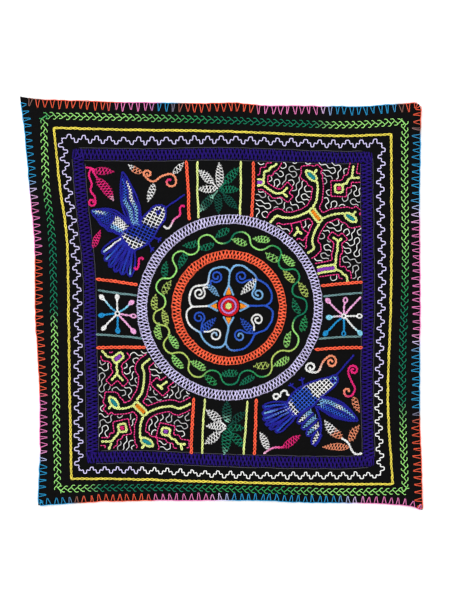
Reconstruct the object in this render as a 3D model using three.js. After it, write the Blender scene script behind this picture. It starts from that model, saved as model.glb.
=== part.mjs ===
import * as THREE from 'three';

// An embroidered cotton cloth, lying face up. Millimetres, +Z up, with the origin under the
// middle of its box, on the surface that it lies on. +Y is the top of the embroidered design.

// The bare cloth and how finely it is divided
const clothThickness = 1.2;
const stationsPerSide = 24;

// The middle of the round design, a little off the middle of the cloth
const medallion = { x: 9.8, y: -5.3 };

// The four corners, pulled out of square by the stitching
const corners = {
  topLeft: { x: -225.8, y: 232 },
  topRight: { x: 224.2, y: 225.3 },
  bottomRight: { x: 225.8, y: -232 },
  bottomLeft: { x: -205.6, y: -227 },
};

// How far each edge is drawn in from the straight line between its corners.
// along: share of the way from the first corner to the second. drawnIn: millimetres.
const edges = [
  {
    from: 'topLeft',
    to: 'topRight',
    rows: [
      { along: 0, drawnIn: 0 },
      { along: 0.05, drawnIn: 3 },
      { along: 0.28, drawnIn: 4.8 },
      { along: 0.45, drawnIn: 4.8 },
      { along: 0.53, drawnIn: 3.2 },
      { along: 0.61, drawnIn: 6 },
      { along: 0.85, drawnIn: 5.5 },
      { along: 0.93, drawnIn: 2.7 },
      { along: 1, drawnIn: 0 },
    ],
  },
  {
    from: 'topRight',
    to: 'bottomRight',
    rows: [
      { along: 0, drawnIn: 0 },
      { along: 0.1, drawnIn: 0.7 },
      { along: 0.25, drawnIn: 2.1 },
      { along: 0.5, drawnIn: 1.4 },
      { along: 0.65, drawnIn: 2.6 },
      { along: 0.75, drawnIn: 2.7 },
      { along: 0.93, drawnIn: 0.3 },
      { along: 1, drawnIn: 0 },
    ],
  },
  {
    from: 'bottomRight',
    to: 'bottomLeft',
    rows: [
      { along: 0, drawnIn: 0 },
      { along: 0.04, drawnIn: 4.8 },
      { along: 0.12, drawnIn: 6.5 },
      { along: 0.3, drawnIn: 6.8 },
      { along: 0.42, drawnIn: 8.4 },
      { along: 0.7, drawnIn: 7.1 },
      { along: 0.83, drawnIn: 5.4 },
      { along: 0.91, drawnIn: 2.7 },
      { along: 1, drawnIn: 0 },
    ],
  },
  {
    from: 'bottomLeft',
    to: 'topLeft',
    rows: [
      { along: 0, drawnIn: 0 },
      { along: 0.05, drawnIn: 1.6 },
      { along: 0.13, drawnIn: 4.8 },
      { along: 0.29, drawnIn: 7.5 },
      { along: 0.45, drawnIn: 6.2 },
      { along: 0.64, drawnIn: 9 },
      { along: 0.8, drawnIn: 5.4 },
      { along: 0.92, drawnIn: 3.4 },
      { along: 1, drawnIn: 0 },
    ],
  },
];

// Corners that curl up off the surface. height at the tip, reach back from it.
const curls = [
  { corner: 'topLeft', height: 5, reach: 62 },
  { corner: 'topRight', height: 3.5, reach: 55 },
  { corner: 'bottomRight', height: 4, reach: 60 },
  { corner: 'bottomLeft', height: 2.5, reach: 48 },
];

// Soft swells of the edge between the places where it lies down.
// side: the edge's place in the list above. along: share of that edge. spread: half width.
const swells = [
  { side: 0, along: 0.34, height: 1.6, spread: 46 },
  { side: 0, along: 0.7, height: 1.1, spread: 38 },
  { side: 1, along: 0.31, height: 1.3, spread: 42 },
  { side: 1, along: 0.66, height: 1.8, spread: 50 },
  { side: 2, along: 0.42, height: 1.5, spread: 48 },
  { side: 2, along: 0.76, height: 1, spread: 36 },
  { side: 3, along: 0.28, height: 1.2, spread: 40 },
  { side: 3, along: 0.62, height: 1.9, spread: 54 },
];

// The yarn that wraps the edge holds the whole rim a little off the surface.
// flatReach: where the lift has died away, as a share of the way from the medallion to the edge.
const rim = { height: 0.8, flatReach: 0.768 };

// The embroidery stands up from the cloth in bands, from the edge to the middle.
// Square bands give a share of the way from the medallion to the edge, and round ones a radius.
// raised: how far the threads stand above the bare cloth. slope: width of each side of the band.
const squareBands = [
  { name: 'feather border', outer: 0.905, inner: 0.872, raised: 0.6, slope: 0.006 },
  { name: 'chain line', outer: 0.857, inner: 0.843, raised: 0.8, slope: 0.005 },
  { name: 'stepped line', outer: 0.823, inner: 0.786, raised: 0.4, slope: 0.008 },
  { name: 'laced frame', outer: 0.768, inner: 0.708, raised: 0.9, slope: 0.007 },
];
const roundBands = [
  { name: 'outer ring', outer: 104.6, inner: 93, raised: 0.9, slope: 1.6 },
  { name: 'wreath', outer: 88, inner: 70, raised: 0.5, slope: 3 },
  { name: 'inner ring', outer: 64.6, inner: 53.6, raised: 0.9, slope: 1.6 },
  { name: 'lobed flower', outer: 46, inner: 24, raised: 0.5, slope: 2.5 },
];
const edging = { inner: 0.958, raised: 0.5, slope: 0.007 };
const flowerEye = { radius: 13, raised: 0.9, slope: 1.5 };

// The underside has fewer loops: enough to follow the lifted edge, then one flat middle
const undersideReaches = [0.958, 0.905, 0.857, rim.flatReach];

// Value of a table of rows at a place along an edge, eased from row to row
function drawnInAt(rows, along) {
  const next = rows.findIndex((row) => row.along >= along);
  if (next <= 0) return rows[0].drawnIn;
  const [a, b] = [rows[next - 1], rows[next]];
  const share = (along - a.along) / (b.along - a.along);
  return THREE.MathUtils.lerp(a.drawnIn, b.drawnIn, THREE.MathUtils.smoothstep(share, 0, 1));
}

// A point of one edge, with the edges running clockwise seen from above
function edgePoint(edge, along) {
  const a = corners[edge.from];
  const b = corners[edge.to];
  const length = Math.hypot(b.x - a.x, b.y - a.y);
  const inward = { x: (b.y - a.y) / length, y: -(b.x - a.x) / length };
  const drawnIn = drawnInAt(edge.rows, along);
  return {
    x: THREE.MathUtils.lerp(a.x, b.x, along) + inward.x * drawnIn,
    y: THREE.MathUtils.lerp(a.y, b.y, along) + inward.y * drawnIn,
  };
}

// The cloth's outline, counter-clockwise seen from above
const outline = edges
  .flatMap((edge) =>
    Array.from({ length: stationsPerSide }, (_, i) => edgePoint(edge, i / stationsPerSide)),
  )
  .reverse();

// How high the cloth lies above the surface at a point, for a share of the way to the edge
function liftAt(x, y, reach) {
  let lift = 0;
  for (const curl of curls) {
    const away = Math.hypot(x - corners[curl.corner].x, y - corners[curl.corner].y);
    lift += curl.height * Math.max(0, 1 - away / curl.reach) ** 2;
  }
  const fade = THREE.MathUtils.smoothstep(reach, rim.flatReach, 1);
  lift += rim.height * fade;
  for (const swell of swells) {
    const top = edgePoint(edges[swell.side], swell.along);
    const away = Math.hypot(x - top.x, y - top.y) / swell.spread;
    lift += swell.height * fade * Math.exp(-away * away);
  }
  return lift;
}

// One loop of points, the outline drawn towards the medallion
function squareLoop(reach, height) {
  return outline.map((p) => {
    const x = THREE.MathUtils.lerp(medallion.x, p.x, reach);
    const y = THREE.MathUtils.lerp(medallion.y, p.y, reach);
    return new THREE.Vector3(x, y, height + liftAt(x, y, reach));
  });
}

// One loop of points on a circle about the medallion, in the same directions
function roundLoop(radius, height) {
  return outline.map((p) => {
    const angle = Math.atan2(p.y - medallion.y, p.x - medallion.x);
    const x = medallion.x + radius * Math.cos(angle);
    const y = medallion.y + radius * Math.sin(angle);
    return new THREE.Vector3(x, y, height);
  });
}

// The four loops of one raised band: foot, shoulder, shoulder, foot
function bandLoops(band, makeLoop) {
  const { outer, inner, raised, slope } = band;
  return [
    makeLoop(outer, clothThickness),
    makeLoop(outer - slope, clothThickness + raised),
    makeLoop(inner + slope, clothThickness + raised),
    makeLoop(inner, clothThickness),
  ];
}

// Skins a run of loops, closed at both ends by a fan to a point
function skin(firstPoint, loops, lastPoint) {
  const count = outline.length;
  const points = [firstPoint, ...loops.flat(), lastPoint];
  const index = [];
  const at = (loop, i) => 1 + loop * count + (i % count);
  for (let i = 0; i < count; i++) {
    index.push(0, at(0, i + 1), at(0, i));
    for (let loop = 0; loop + 1 < loops.length; loop++) {
      index.push(at(loop, i), at(loop, i + 1), at(loop + 1, i));
      index.push(at(loop, i + 1), at(loop + 1, i + 1), at(loop + 1, i));
    }
    index.push(at(loops.length - 1, i), at(loops.length - 1, i + 1), points.length - 1);
  }
  const geometry = new THREE.BufferGeometry().setFromPoints(points);
  geometry.setIndex(index);
  geometry.computeVertexNormals();
  return geometry;
}

// The whole cloth: up from the middle of the underside, round the edge and in over the face
function makeCloth() {
  const eyeTop = clothThickness + flowerEye.raised;
  const loops = [
    ...undersideReaches.toReversed().map((reach) => squareLoop(reach, 0)),
    squareLoop(1, 0),
    squareLoop(1, clothThickness + edging.raised),
    squareLoop(edging.inner + edging.slope, clothThickness + edging.raised),
    squareLoop(edging.inner, clothThickness),
    ...squareBands.flatMap((band) => bandLoops(band, squareLoop)),
    ...roundBands.flatMap((band) => bandLoops(band, roundLoop)),
    roundLoop(flowerEye.radius + flowerEye.slope, clothThickness),
    roundLoop(flowerEye.radius, eyeTop),
  ];
  const undersideMiddle = new THREE.Vector3(medallion.x, medallion.y, 0);
  const faceMiddle = new THREE.Vector3(medallion.x, medallion.y, eyeTop);
  const blackCotton = new THREE.MeshStandardMaterial({ color: 0x1a1a1c, roughness: 0.92, metalness: 0 });
  const cloth = new THREE.Mesh(skin(undersideMiddle, loops, faceMiddle), blackCotton);
  cloth.name = 'cloth';
  return cloth;
}

const embroideredCloth = new THREE.Group();
embroideredCloth.add(makeCloth());

export default embroideredCloth;
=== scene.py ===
import math
import random
import bpy
import numpy as np
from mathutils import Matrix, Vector, noise
from mathutils.bvhtree import BVHTree


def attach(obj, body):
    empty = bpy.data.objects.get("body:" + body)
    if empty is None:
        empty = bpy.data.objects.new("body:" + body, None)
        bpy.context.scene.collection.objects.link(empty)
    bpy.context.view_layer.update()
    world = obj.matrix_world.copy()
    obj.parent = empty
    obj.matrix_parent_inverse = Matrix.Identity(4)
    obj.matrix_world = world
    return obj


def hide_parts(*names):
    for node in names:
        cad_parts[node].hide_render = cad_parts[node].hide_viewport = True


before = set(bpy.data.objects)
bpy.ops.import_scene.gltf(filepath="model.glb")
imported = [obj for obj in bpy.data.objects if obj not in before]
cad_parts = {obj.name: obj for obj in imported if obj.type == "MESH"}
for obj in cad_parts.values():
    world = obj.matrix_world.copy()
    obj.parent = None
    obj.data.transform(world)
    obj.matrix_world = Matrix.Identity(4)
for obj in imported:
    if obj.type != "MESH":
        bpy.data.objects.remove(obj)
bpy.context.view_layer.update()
mm = 0.001  # everything below is drawn in millimetres and made in metres
rng = random.Random(41)

# yarns as they look in flat light, red green blue out of 255
yarns = {
    "white": (250, 250, 249),
    "indigo": (29, 5, 104),
    "lavender": (220, 212, 254),
    "scarlet": (254, 102, 66),
    "coral": (252, 98, 66),
    "orange": (252, 150, 28),
    "yellow": (238, 220, 84),
    "lime": (234, 248, 152),
    "pear": (196, 220, 112),
    "tealGrey": (114, 151, 153),
    "teal": (26, 150, 160),
    "brown": (150, 104, 92),
    "magenta": (242, 40, 128),
    "cerise": (252, 66, 146),
    "pink": (248, 134, 198),
    "rose": (251, 181, 231),
    "palePink": (246, 190, 220),
    "lilac": (206, 142, 222),
    "purple": (158, 70, 206),
    "salmon": (254, 158, 118),
    "red": (228, 18, 34),
    "royal": (34, 34, 156),
    "ultramarine": (38, 64, 188),
    "cobalt": (46, 92, 208),
    "sky": (34, 152, 214),
    "azure": (42, 160, 216),
    "lightBlue": (132, 188, 236),
    "ice": (138, 220, 244),
    "mint": (160, 232, 206),
    "lightGreen": (166, 240, 130),
    "green": (52, 168, 96),
    "darkGreen": (16, 130, 96),
    "deepGreen": (10, 84, 70),
    "grey": (206, 206, 208),
    "ash": (84, 82, 92),
}


def linear(rgb):
    return [(c / 255 / 12.92) if c < 10.3 else ((c / 255 + 0.055) / 1.055) ** 2.4 for c in rgb]


yarnTints = {name: np.array(linear(rgb)) for name, rgb in yarns.items()}


def tintAt(tint, share):
    # a yarn's name, a colour already found, or stops along the work as (share, name)
    if isinstance(tint, str):
        return yarnTints[tint]
    if isinstance(tint, np.ndarray):
        return tint
    places = [stop[0] for stop in tint]
    tints = np.array([yarnTints[stop[1]] for stop in tint])
    return np.array([np.interp(share, places, tints[:, i]) for i in range(3)])


def stops(*words, low=0, high=1):
    # yarns in turn, and between two of them the places where the first ends and the second begins
    made = [(low, words[0])]
    for k in range(0, len(words) - 1, 3):
        before, end, start, after = words[k:k + 4]
        made += [(end, before), (start, after)]
    return list(dict.fromkeys([*made, (high, words[-1])]))


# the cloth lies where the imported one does: its rim and its lift are read from there
cloth = {
    "centre": (9.8, -5.3),  # middle of the round design
    "thickness": 1.1,
    "stations": 288,
    "reaches": 46,
    "pucker": 0.35,  # height of the soft unevenness between the stitches
    "puckerSize": 24,
    "gridStep": 4,
    "gridHalf": 240,
    "rounded": {"corner": 1, "from": 6.5, "pull": 2.8},  # the top right corner, worn round
}
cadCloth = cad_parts["cloth"].data
cadPoints = np.array([v.co for v in cadCloth.vertices]) / mm
cadTree = BVHTree.FromPolygons([list(p) for p in cadPoints], [list(f.vertices) for f in cadCloth.polygons])
centre = np.array(cloth["centre"])


def readRim():
    away = cadPoints[:, :2] - centre
    angles = np.arctan2(away[:, 1], away[:, 0])
    reaches = np.hypot(away[:, 0], away[:, 1])
    rim = []
    last = -9
    for i in np.argsort(-angles):
        if reaches[i] < 1:
            continue
        if abs(angles[i] - last) > 0.005:
            rim.append(i)
        elif reaches[i] > reaches[rim[-1]]:
            rim[-1] = i
        last = angles[i]
    return cadPoints[rim, :2]  # clockwise


def smoothPath(points, step=1.5, closed=False):
    pts = np.array(points, float)
    count = len(pts)
    made = []
    for i in range(count if closed else count - 1):
        b = pts[i]
        c = pts[(i + 1) % count]
        a = pts[i - 1] if closed or i > 0 else 2 * b - c
        d = pts[(i + 2) % count] if closed or i + 2 < count else 2 * c - b
        parts = max(1, round(math.dist(b, c) / step))
        for k in range(parts):
            t = k / parts
            bend = 2 * a - 5 * b + 4 * c - d
            made.append(0.5 * (2 * b + (c - a) * t + bend * t * t + (3 * b - a - 3 * c + d) * t ** 3))
    if not closed:
        made.append(pts[-1])
    return np.array(made)


def alongPath(path):
    return np.r_[0, np.cumsum(np.hypot(*np.diff(path, axis=0).T))]


def evenSteps(path, count):
    # count + 1 points at even steps, with the direction of travel at each
    path = np.array(path)
    lengths = alongPath(path)
    places = np.linspace(0, lengths[-1], count + 1)
    points = np.stack([np.interp(places, lengths, path[:, i]) for i in (0, 1)], 1)
    runs = np.gradient(points, axis=0)
    return points, runs / np.hypot(runs[:, 0], runs[:, 1])[:, None]


def leftOf(runs):
    return np.stack([-runs[:, 1], runs[:, 0]], 1)


def roundOff(side):
    # the first point, which is the corner, gives way to one nearer the middle and one along the side
    tip, after = side[0], side[1]
    inward = (centre - tip) / math.dist(centre, tip)
    along = (after - tip) / math.dist(after, tip)
    return [tip + inward * cloth["rounded"]["pull"], tip + along * cloth["rounded"]["from"], *side[1:]]


rim = readRim()
cornerWays = [(-1, 1), (1, 1), (1, -1), (-1, -1)]
cornerAt = [int(np.argmax(rim @ np.array(way))) for way in cornerWays]
rimSides = []
rounded = cloth["rounded"]
for k in range(4):
    start, end = cornerAt[k], cornerAt[(k + 1) % 4]
    side = [rim[i % len(rim)] for i in range(start, end + 1 if end > start else end + len(rim) + 1)]
    if k == rounded["corner"]:
        side = roundOff(side)
    elif (k + 1) % 4 == rounded["corner"]:
        side = roundOff(side[::-1])[::-1]
    rimSides.append(smoothPath(side, 2))
print("cloth: rim read,", len(rim), "points,", [round(alongPath(s)[-1]) for s in rimSides], "mm sides")


def readLift():
    # how high the underside lies, on a grid, softened over the neighbouring places
    step = cloth["gridStep"]
    half = cloth["gridHalf"]
    places = np.arange(-half, half + step, step)
    grid = np.zeros((len(places), len(places)))
    for i, y in enumerate(places):
        for j, x in enumerate(places):
            at = np.array([x, y])
            for pull in (1, 0.97, 0.94, 0.9, 0.85):
                spot = centre + (at - centre) * pull
                hit = cadTree.ray_cast(Vector((spot[0], spot[1], -50)), Vector((0, 0, 1)))
                if hit[0] is not None:
                    grid[i, j] = hit[0].z
                    break
    for turn in range(2):
        padded = np.pad(grid, 1, mode="edge")
        grid = sum(padded[a:a + len(grid), b:b + len(grid)] for a in range(3) for b in range(3)) / 9
    return grid


liftGrid = readLift()


def clothTop(x, y):
    step = cloth["gridStep"]
    u = min(max((x + cloth["gridHalf"]) / step, 0), len(liftGrid) - 1.001)
    v = min(max((y + cloth["gridHalf"]) / step, 0), len(liftGrid) - 1.001)
    i, j = int(v), int(u)
    s, t = v - i, u - j
    low = liftGrid[i, j] * (1 - t) + liftGrid[i, j + 1] * t
    high = liftGrid[i + 1, j] * (1 - t) + liftGrid[i + 1, j + 1] * t
    swell = noise.noise(Vector((x, y, 3)) / cloth["puckerSize"])
    swell += 0.5 * noise.noise(Vector((x, y, 9)) / cloth["puckerSize"] * 2.3)
    return low * (1 - s) + high * s + cloth["thickness"] + cloth["pucker"] * (0.75 + 0.5 * swell)


# node helpers: every socket is either joined to another or set to a value
def put(tree, kind, inputs=None, **settings):
    made = tree.nodes.new(kind)
    for key, value in settings.items():
        setattr(made, key, value)
    for key, value in (inputs or {}).items():
        if isinstance(value, bpy.types.NodeSocket):
            tree.links.new(value, made.inputs[key])
        else:
            made.inputs[key].default_value = value
    return made


def calc(tree, operation, *values):
    return put(tree, "ShaderNodeMath", dict(enumerate(values)), operation=operation).outputs[0]


def makeCottonMaterial():
    looks = {
        "threads": 1500,  # threads to the metre
        "dark": (0.0010, 0.0010, 0.0011, 1),
        "pale": (0.0052, 0.0052, 0.0054, 1),
    }
    made = bpy.data.materials.new("blackCotton")
    made.use_nodes = True
    tree = made.node_tree
    tree.nodes.clear()
    place = put(tree, "ShaderNodeTexCoord").outputs["Object"]
    drift = put(tree, "ShaderNodeTexNoise", {"Vector": place, "Scale": 260, "Detail": 3})
    spread = put(tree, "ShaderNodeVectorMath", {0: drift.outputs["Color"], "Scale": 0.0007},
                 operation="SCALE")
    moved = put(tree, "ShaderNodeVectorMath", {0: place, 1: spread.outputs[0]}, operation="ADD").outputs[0]
    waves = {"Vector": moved, "Scale": looks["threads"] / 6.2832, "Distortion": 0.4}
    warp = put(tree, "ShaderNodeTexWave", waves, bands_direction="X").outputs["Fac"]
    weft = put(tree, "ShaderNodeTexWave", waves, bands_direction="Y").outputs["Fac"]
    over = put(tree, "ShaderNodeTexChecker", {"Vector": moved, "Scale": looks["threads"]}).outputs["Fac"]
    weave = put(tree, "ShaderNodeMix", {0: over, 2: warp, 3: weft}).outputs[0]
    slub = put(tree, "ShaderNodeTexNoise", {"Vector": place, "Scale": 900, "Detail": 4, "Roughness": 0.7})
    grain = calc(tree, "ADD", calc(tree, "MULTIPLY", weave, 0.45),
                 calc(tree, "MULTIPLY", slub.outputs["Fac"], 0.55))
    ramp = put(tree, "ShaderNodeValToRGB", {"Fac": grain})
    ramp.color_ramp.elements[0].position = 0.25
    ramp.color_ramp.elements[0].color = looks["dark"]
    ramp.color_ramp.elements[1].position = 0.75
    ramp.color_ramp.elements[1].color = looks["pale"]
    bump = put(tree, "ShaderNodeBump", {"Strength": 0.5, "Distance": 0.0003, "Height": grain})
    rough = calc(tree, "ADD", calc(tree, "MULTIPLY", slub.outputs["Fac"], 0.12), 0.82)
    shader = put(tree, "ShaderNodeBsdfPrincipled", {
        "Base Color": ramp.outputs["Color"],
        "Roughness": rough,
        "Normal": bump.outputs[0],
        "Specular IOR Level": 0.03,
    })
    put(tree, "ShaderNodeOutputMaterial", {"Surface": shader.outputs[0]})
    return made


def makeYarnMaterial():
    looks = {"plyLength": 0.0042, "grooveShadeDepth": 0.22}
    made = bpy.data.materials.new("embroideryYarn")
    made.use_nodes = True
    tree = made.node_tree
    tree.nodes.clear()
    tint = put(tree, "ShaderNodeAttribute", attribute_name="yarnTint").outputs["Color"]
    shade = put(tree, "ShaderNodeAttribute", attribute_name="stitchShade").outputs["Fac"]
    span = put(tree, "ShaderNodeAttribute", attribute_name="stitchSpan").outputs["Fac"]
    along = put(tree, "ShaderNodeAttribute", attribute_name="yarnAlong").outputs["Fac"]
    turn = put(tree, "ShaderNodeAttribute", attribute_name="yarnRound").outputs["Vector"]
    parts = put(tree, "ShaderNodeSeparateXYZ", {0: turn}).outputs
    angle = calc(tree, "MULTIPLY", calc(tree, "ARCTAN2", parts[1], parts[0]), 2)
    travel = calc(tree, "MULTIPLY", calc(tree, "MULTIPLY", along, span), 12.566 / looks["plyLength"])
    ply = calc(tree, "SINE", calc(tree, "ADD", angle, travel))
    place = put(tree, "ShaderNodeTexCoord").outputs["Object"]
    fuzz = put(tree, "ShaderNodeTexNoise", {"Vector": place, "Scale": 2600, "Detail": 3}).outputs["Fac"]
    dye = put(tree, "ShaderNodeTexNoise", {"Vector": place, "Scale": 140, "Detail": 2}).outputs["Fac"]
    # painted shade: the colour is made darker along the ply grooves of the twist, as shade in those recesses,
    # besides the real bump below
    plyGrooveShade = calc(tree, "MULTIPLY_ADD", ply, looks["grooveShadeDepth"] / 2, 1 - looks["grooveShadeDepth"] / 2)
    dyeShade = calc(tree, "MULTIPLY_ADD", dye, 0.24, 0.88)
    fuzzShade = calc(tree, "MULTIPLY_ADD", fuzz, 0.2, 0.9)
    total = calc(tree, "MULTIPLY", calc(tree, "MULTIPLY", plyGrooveShade, dyeShade),
                 calc(tree, "MULTIPLY", fuzzShade, shade))
    colour = put(tree, "ShaderNodeVectorMath", {0: tint, "Scale": total}, operation="SCALE").outputs[0]
    height = calc(tree, "MULTIPLY_ADD", fuzz, 0.5, calc(tree, "MULTIPLY", ply, 0.5))
    bump = put(tree, "ShaderNodeBump", {"Strength": 0.55, "Distance": 0.00025, "Height": height})
    shader = put(tree, "ShaderNodeBsdfPrincipled", {
        "Base Color": colour,
        "Roughness": calc(tree, "MULTIPLY_ADD", fuzz, 0.2, 0.55),
        "Normal": bump.outputs[0],
        "Specular IOR Level": 0.09,
        "Sheen Weight": 0.03,
        "Sheen Roughness": 0.4,
    })
    put(tree, "ShaderNodeOutputMaterial", {"Surface": shader.outputs[0]})
    return made


cottonMaterial = makeCottonMaterial()
yarnMaterial = makeYarnMaterial()

# one tree sews every drawing: straight stitches, chain links, laced bands and laid yarn
stitchKinds = {"straight": 0, "chain": 1, "laced": 2, "laid": 3}
linkShape = {"points": 11, "yarn": 0.195, "long": 1.8}  # a link one wide, its yarn's radius, its length


def makeStitchTree():
    tree = bpy.data.node_groups.new("yarnStitches", "GeometryNodeTree")
    tree.interface.new_socket("Geometry", in_out="INPUT", socket_type="NodeSocketGeometry")
    tree.interface.new_socket("Geometry", in_out="OUTPUT", socket_type="NodeSocketGeometry")
    for name in ("Link Overlap", "Lace Slant", "Lace Lean", "Arch", "Looseness"):
        tree.interface.new_socket(name, in_out="INPUT", socket_type="NodeSocketFloat")
    tree.interface.new_socket("Seed", in_out="INPUT", socket_type="NodeSocketInt")
    tree.interface.new_socket("Yarn", in_out="INPUT", socket_type="NodeSocketMaterial")
    given = put(tree, "NodeGroupInput").outputs
    position = put(tree, "GeometryNodeInputPosition").outputs[0]

    def named(name, kind="FLOAT"):
        return put(tree, "GeometryNodeInputNamedAttribute", {"Name": name}, data_type=kind).outputs[0]

    def store(geometry, name, value, kind="FLOAT", domain="POINT"):
        inputs = {"Geometry": geometry, "Name": name, "Value": value}
        return put(tree, "GeometryNodeStoreNamedAttribute", inputs, data_type=kind, domain=domain).outputs[0]

    def combine(x, y, z):
        return put(tree, "ShaderNodeCombineXYZ", {0: x, 1: y, 2: z}).outputs[0]

    def chance(low, high, shift):
        seed = calc(tree, "ADD", given["Seed"], shift)
        return put(tree, "FunctionNodeRandomValue", {2: low, 3: high, "Seed": seed},
                   data_type="FLOAT").outputs[1]

    def tube(rail, radius, sides, scale=1.0):
        ring = put(tree, "GeometryNodeCurvePrimitiveCircle",
                   {"Resolution": sides, "Radius": radius}).outputs[0]
        ring = store(ring, "yarnRound", position, "FLOAT_VECTOR")
        inputs = {"Curve": rail, "Profile Curve": ring, "Scale": scale, "Fill Caps": True}
        return put(tree, "GeometryNodeCurveToMesh", inputs).outputs[0]

    def pickKind(kind):
        chosen = calc(tree, "COMPARE", named("stitchKind"), float(stitchKinds[kind]), 0.5)
        inputs = {"Geometry": given["Geometry"], "Selection": chosen}
        return put(tree, "GeometryNodeSeparateGeometry", inputs).outputs[0]

    # a straight stitch, one long and one thick, that rises from the cloth and goes back into it
    line = put(tree, "GeometryNodeCurvePrimitiveLine", {"Start": (-0.5, 0, 0), "End": (0.5, 0, 0)}).outputs[0]
    line = put(tree, "GeometryNodeResampleCurve", {"Curve": line, "Count": 7}, mode="COUNT").outputs[0]
    factor = put(tree, "GeometryNodeSplineParameter").outputs["Factor"]
    line = store(line, "yarnAlong", factor)
    fromMiddle = calc(tree, "MULTIPLY_ADD", factor, 2.0, -1.0)
    thin = calc(tree, "MULTIPLY_ADD", calc(tree, "POWER", calc(tree, "ABSOLUTE", fromMiddle), 6.0), -0.3, 1.0)
    strand = tube(line, 0.5, 6, thin)
    runX = put(tree, "ShaderNodeSeparateXYZ", {0: position}).outputs[0]
    bow = calc(tree, "MULTIPLY_ADD", calc(tree, "POWER", calc(tree, "ABSOLUTE", runX), 2.0), -4.0, 1.0)
    rise = calc(tree, "MULTIPLY_ADD", bow, calc(tree, "ADD", given["Arch"], 0.3), -0.3)
    strand = put(tree, "GeometryNodeSetPosition",
                 {"Geometry": strand, "Offset": combine(0, 0, rise)}).outputs[0]

    # a chain link, narrow where it comes up and round where the next one holds it down
    loop = put(tree, "GeometryNodeCurvePrimitiveCircle", {"Resolution": linkShape["points"]}).outputs[0]
    loop = store(loop, "yarnAlong", factor)
    theta = calc(tree, "MULTIPLY", factor, 2 * math.pi)
    half = 0.5 - linkShape["yarn"]
    swing = calc(tree, "MULTIPLY", calc(tree, "SINE", theta),
                 calc(tree, "SINE", calc(tree, "MULTIPLY", theta, 0.5)))
    reach = calc(tree, "MULTIPLY", calc(tree, "COSINE", theta), linkShape["long"] / 2 - linkShape["yarn"])
    drop = calc(tree, "MULTIPLY_ADD", calc(tree, "COSINE", theta), 0.16, 0.22)
    ovalPlace = combine(calc(tree, "MULTIPLY", reach, -1.0), calc(tree, "MULTIPLY", swing, half / 0.75), drop)
    loop = put(tree, "GeometryNodeSetPosition", {"Geometry": loop, "Position": ovalPlace}).outputs[0]
    link = tube(loop, linkShape["yarn"], 5)

    def sewEdges(geometry, stitch, size, shift):
        ends = put(tree, "GeometryNodeInputMeshEdgeVertices").outputs
        run = put(tree, "ShaderNodeVectorMath", {0: ends["Position 2"], 1: ends["Position 1"]},
                  operation="SUBTRACT")
        geometry = store(geometry, "stitchRun", run.outputs[0], "FLOAT_VECTOR", "EDGE")
        points = put(tree, "GeometryNodeMeshToPoints", {"Mesh": geometry}, mode="EDGES").outputs[0]
        along = named("stitchRun", "FLOAT_VECTOR")
        length = put(tree, "ShaderNodeVectorMath", {0: along}, operation="LENGTH").outputs["Value"]
        return sewPoints(points, stitch, along, 0.0, length, size, shift)

    def sewPoints(points, stitch, along, lean, length, size, shift):
        points = store(points, "stitchSpan", length)
        points = store(points, "stitchShade", chance(0.86, 1.06, shift))
        up = {"Primary Axis": along, "Secondary Axis": (0, 0, 1)}
        turned = put(tree, "FunctionNodeAxesToRotation", up, primary_axis="X", secondary_axis="Z").outputs[0]
        sway = calc(tree, "MULTIPLY_ADD", chance(-1.0, 1.0, shift + 1), given["Looseness"], lean)
        spin = put(tree, "FunctionNodeAxisAngleToRotation", {"Axis": (0, 0, 1), "Angle": sway}).outputs[0]
        inputs = {"Rotation": turned, "Rotate By": spin}
        turned = put(tree, "FunctionNodeRotateRotation", inputs, rotation_space="LOCAL").outputs[0]
        stretch = calc(tree, "MULTIPLY_ADD", chance(-1.0, 1.0, shift + 2), given["Looseness"], 1.0)
        swell = calc(tree, "MULTIPLY_ADD", chance(-1.6, 1.6, shift + 3), given["Looseness"], 1.0)
        scale = combine(calc(tree, "MULTIPLY", size[0](length), stretch),
                        calc(tree, "MULTIPLY", size[1], swell), size[1])
        inputs = {"Points": points, "Instance": stitch, "Rotation": turned, "Scale": scale}
        return put(tree, "GeometryNodeInstanceOnPoints", inputs).outputs[0]

    def spaced(kind):
        curve = put(tree, "GeometryNodeMeshToCurve", {"Mesh": pickKind(kind)}).outputs[0]
        inputs = {"Curve": curve, "Length": named("stitchPitch")}
        return put(tree, "GeometryNodeResampleCurve", inputs, mode="LENGTH").outputs[0]

    thick = named("yarnThick")
    wide = named("workWidth")
    straight = sewEdges(pickKind("straight"), strand, (lambda length: length, thick), 10)

    chainLine = put(tree, "GeometryNodeCurveToMesh", {"Curve": spaced("chain")}).outputs[0]
    overlap = calc(tree, "DIVIDE", given["Link Overlap"], linkShape["long"])
    chain = sewEdges(chainLine, link, (lambda length: calc(tree, "MULTIPLY", length, overlap), wide), 20)

    # laced bands: two leaning strands at every step, the second half a step on and over the first
    tangent = put(tree, "GeometryNodeInputTangent").outputs[0]
    laced = []
    for turn, layer in ((1.0, 0.0), (-1.0, 0.5)):
        slant = calc(tree, "MULTIPLY_ADD", given["Lace Slant"], turn, given["Lace Lean"])
        reachAlong = calc(tree, "MULTIPLY", wide, slant)
        leaning = calc(tree, "ARCTAN2", wide, reachAlong)
        square = calc(tree, "MULTIPLY_ADD", wide, wide, calc(tree, "MULTIPLY", reachAlong, reachAlong))
        across = calc(tree, "SQRT", square)
        onward = calc(tree, "MULTIPLY", named("stitchPitch"), layer)
        step = put(tree, "ShaderNodeVectorMath", {0: tangent, "Scale": onward}, operation="SCALE").outputs[0]
        lift = combine(0, 0, calc(tree, "MULTIPLY", thick, layer + 0.25))
        shift = put(tree, "ShaderNodeVectorMath", {0: step, 1: lift}, operation="ADD").outputs[0]
        points = put(tree, "GeometryNodeSetPosition",
                     {"Geometry": spaced("laced"), "Offset": shift}).outputs[0]
        size = (lambda length: length, thick)
        laced.append(sewPoints(points, strand, tangent, leaning, across, size, 30 + layer * 20))

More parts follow.
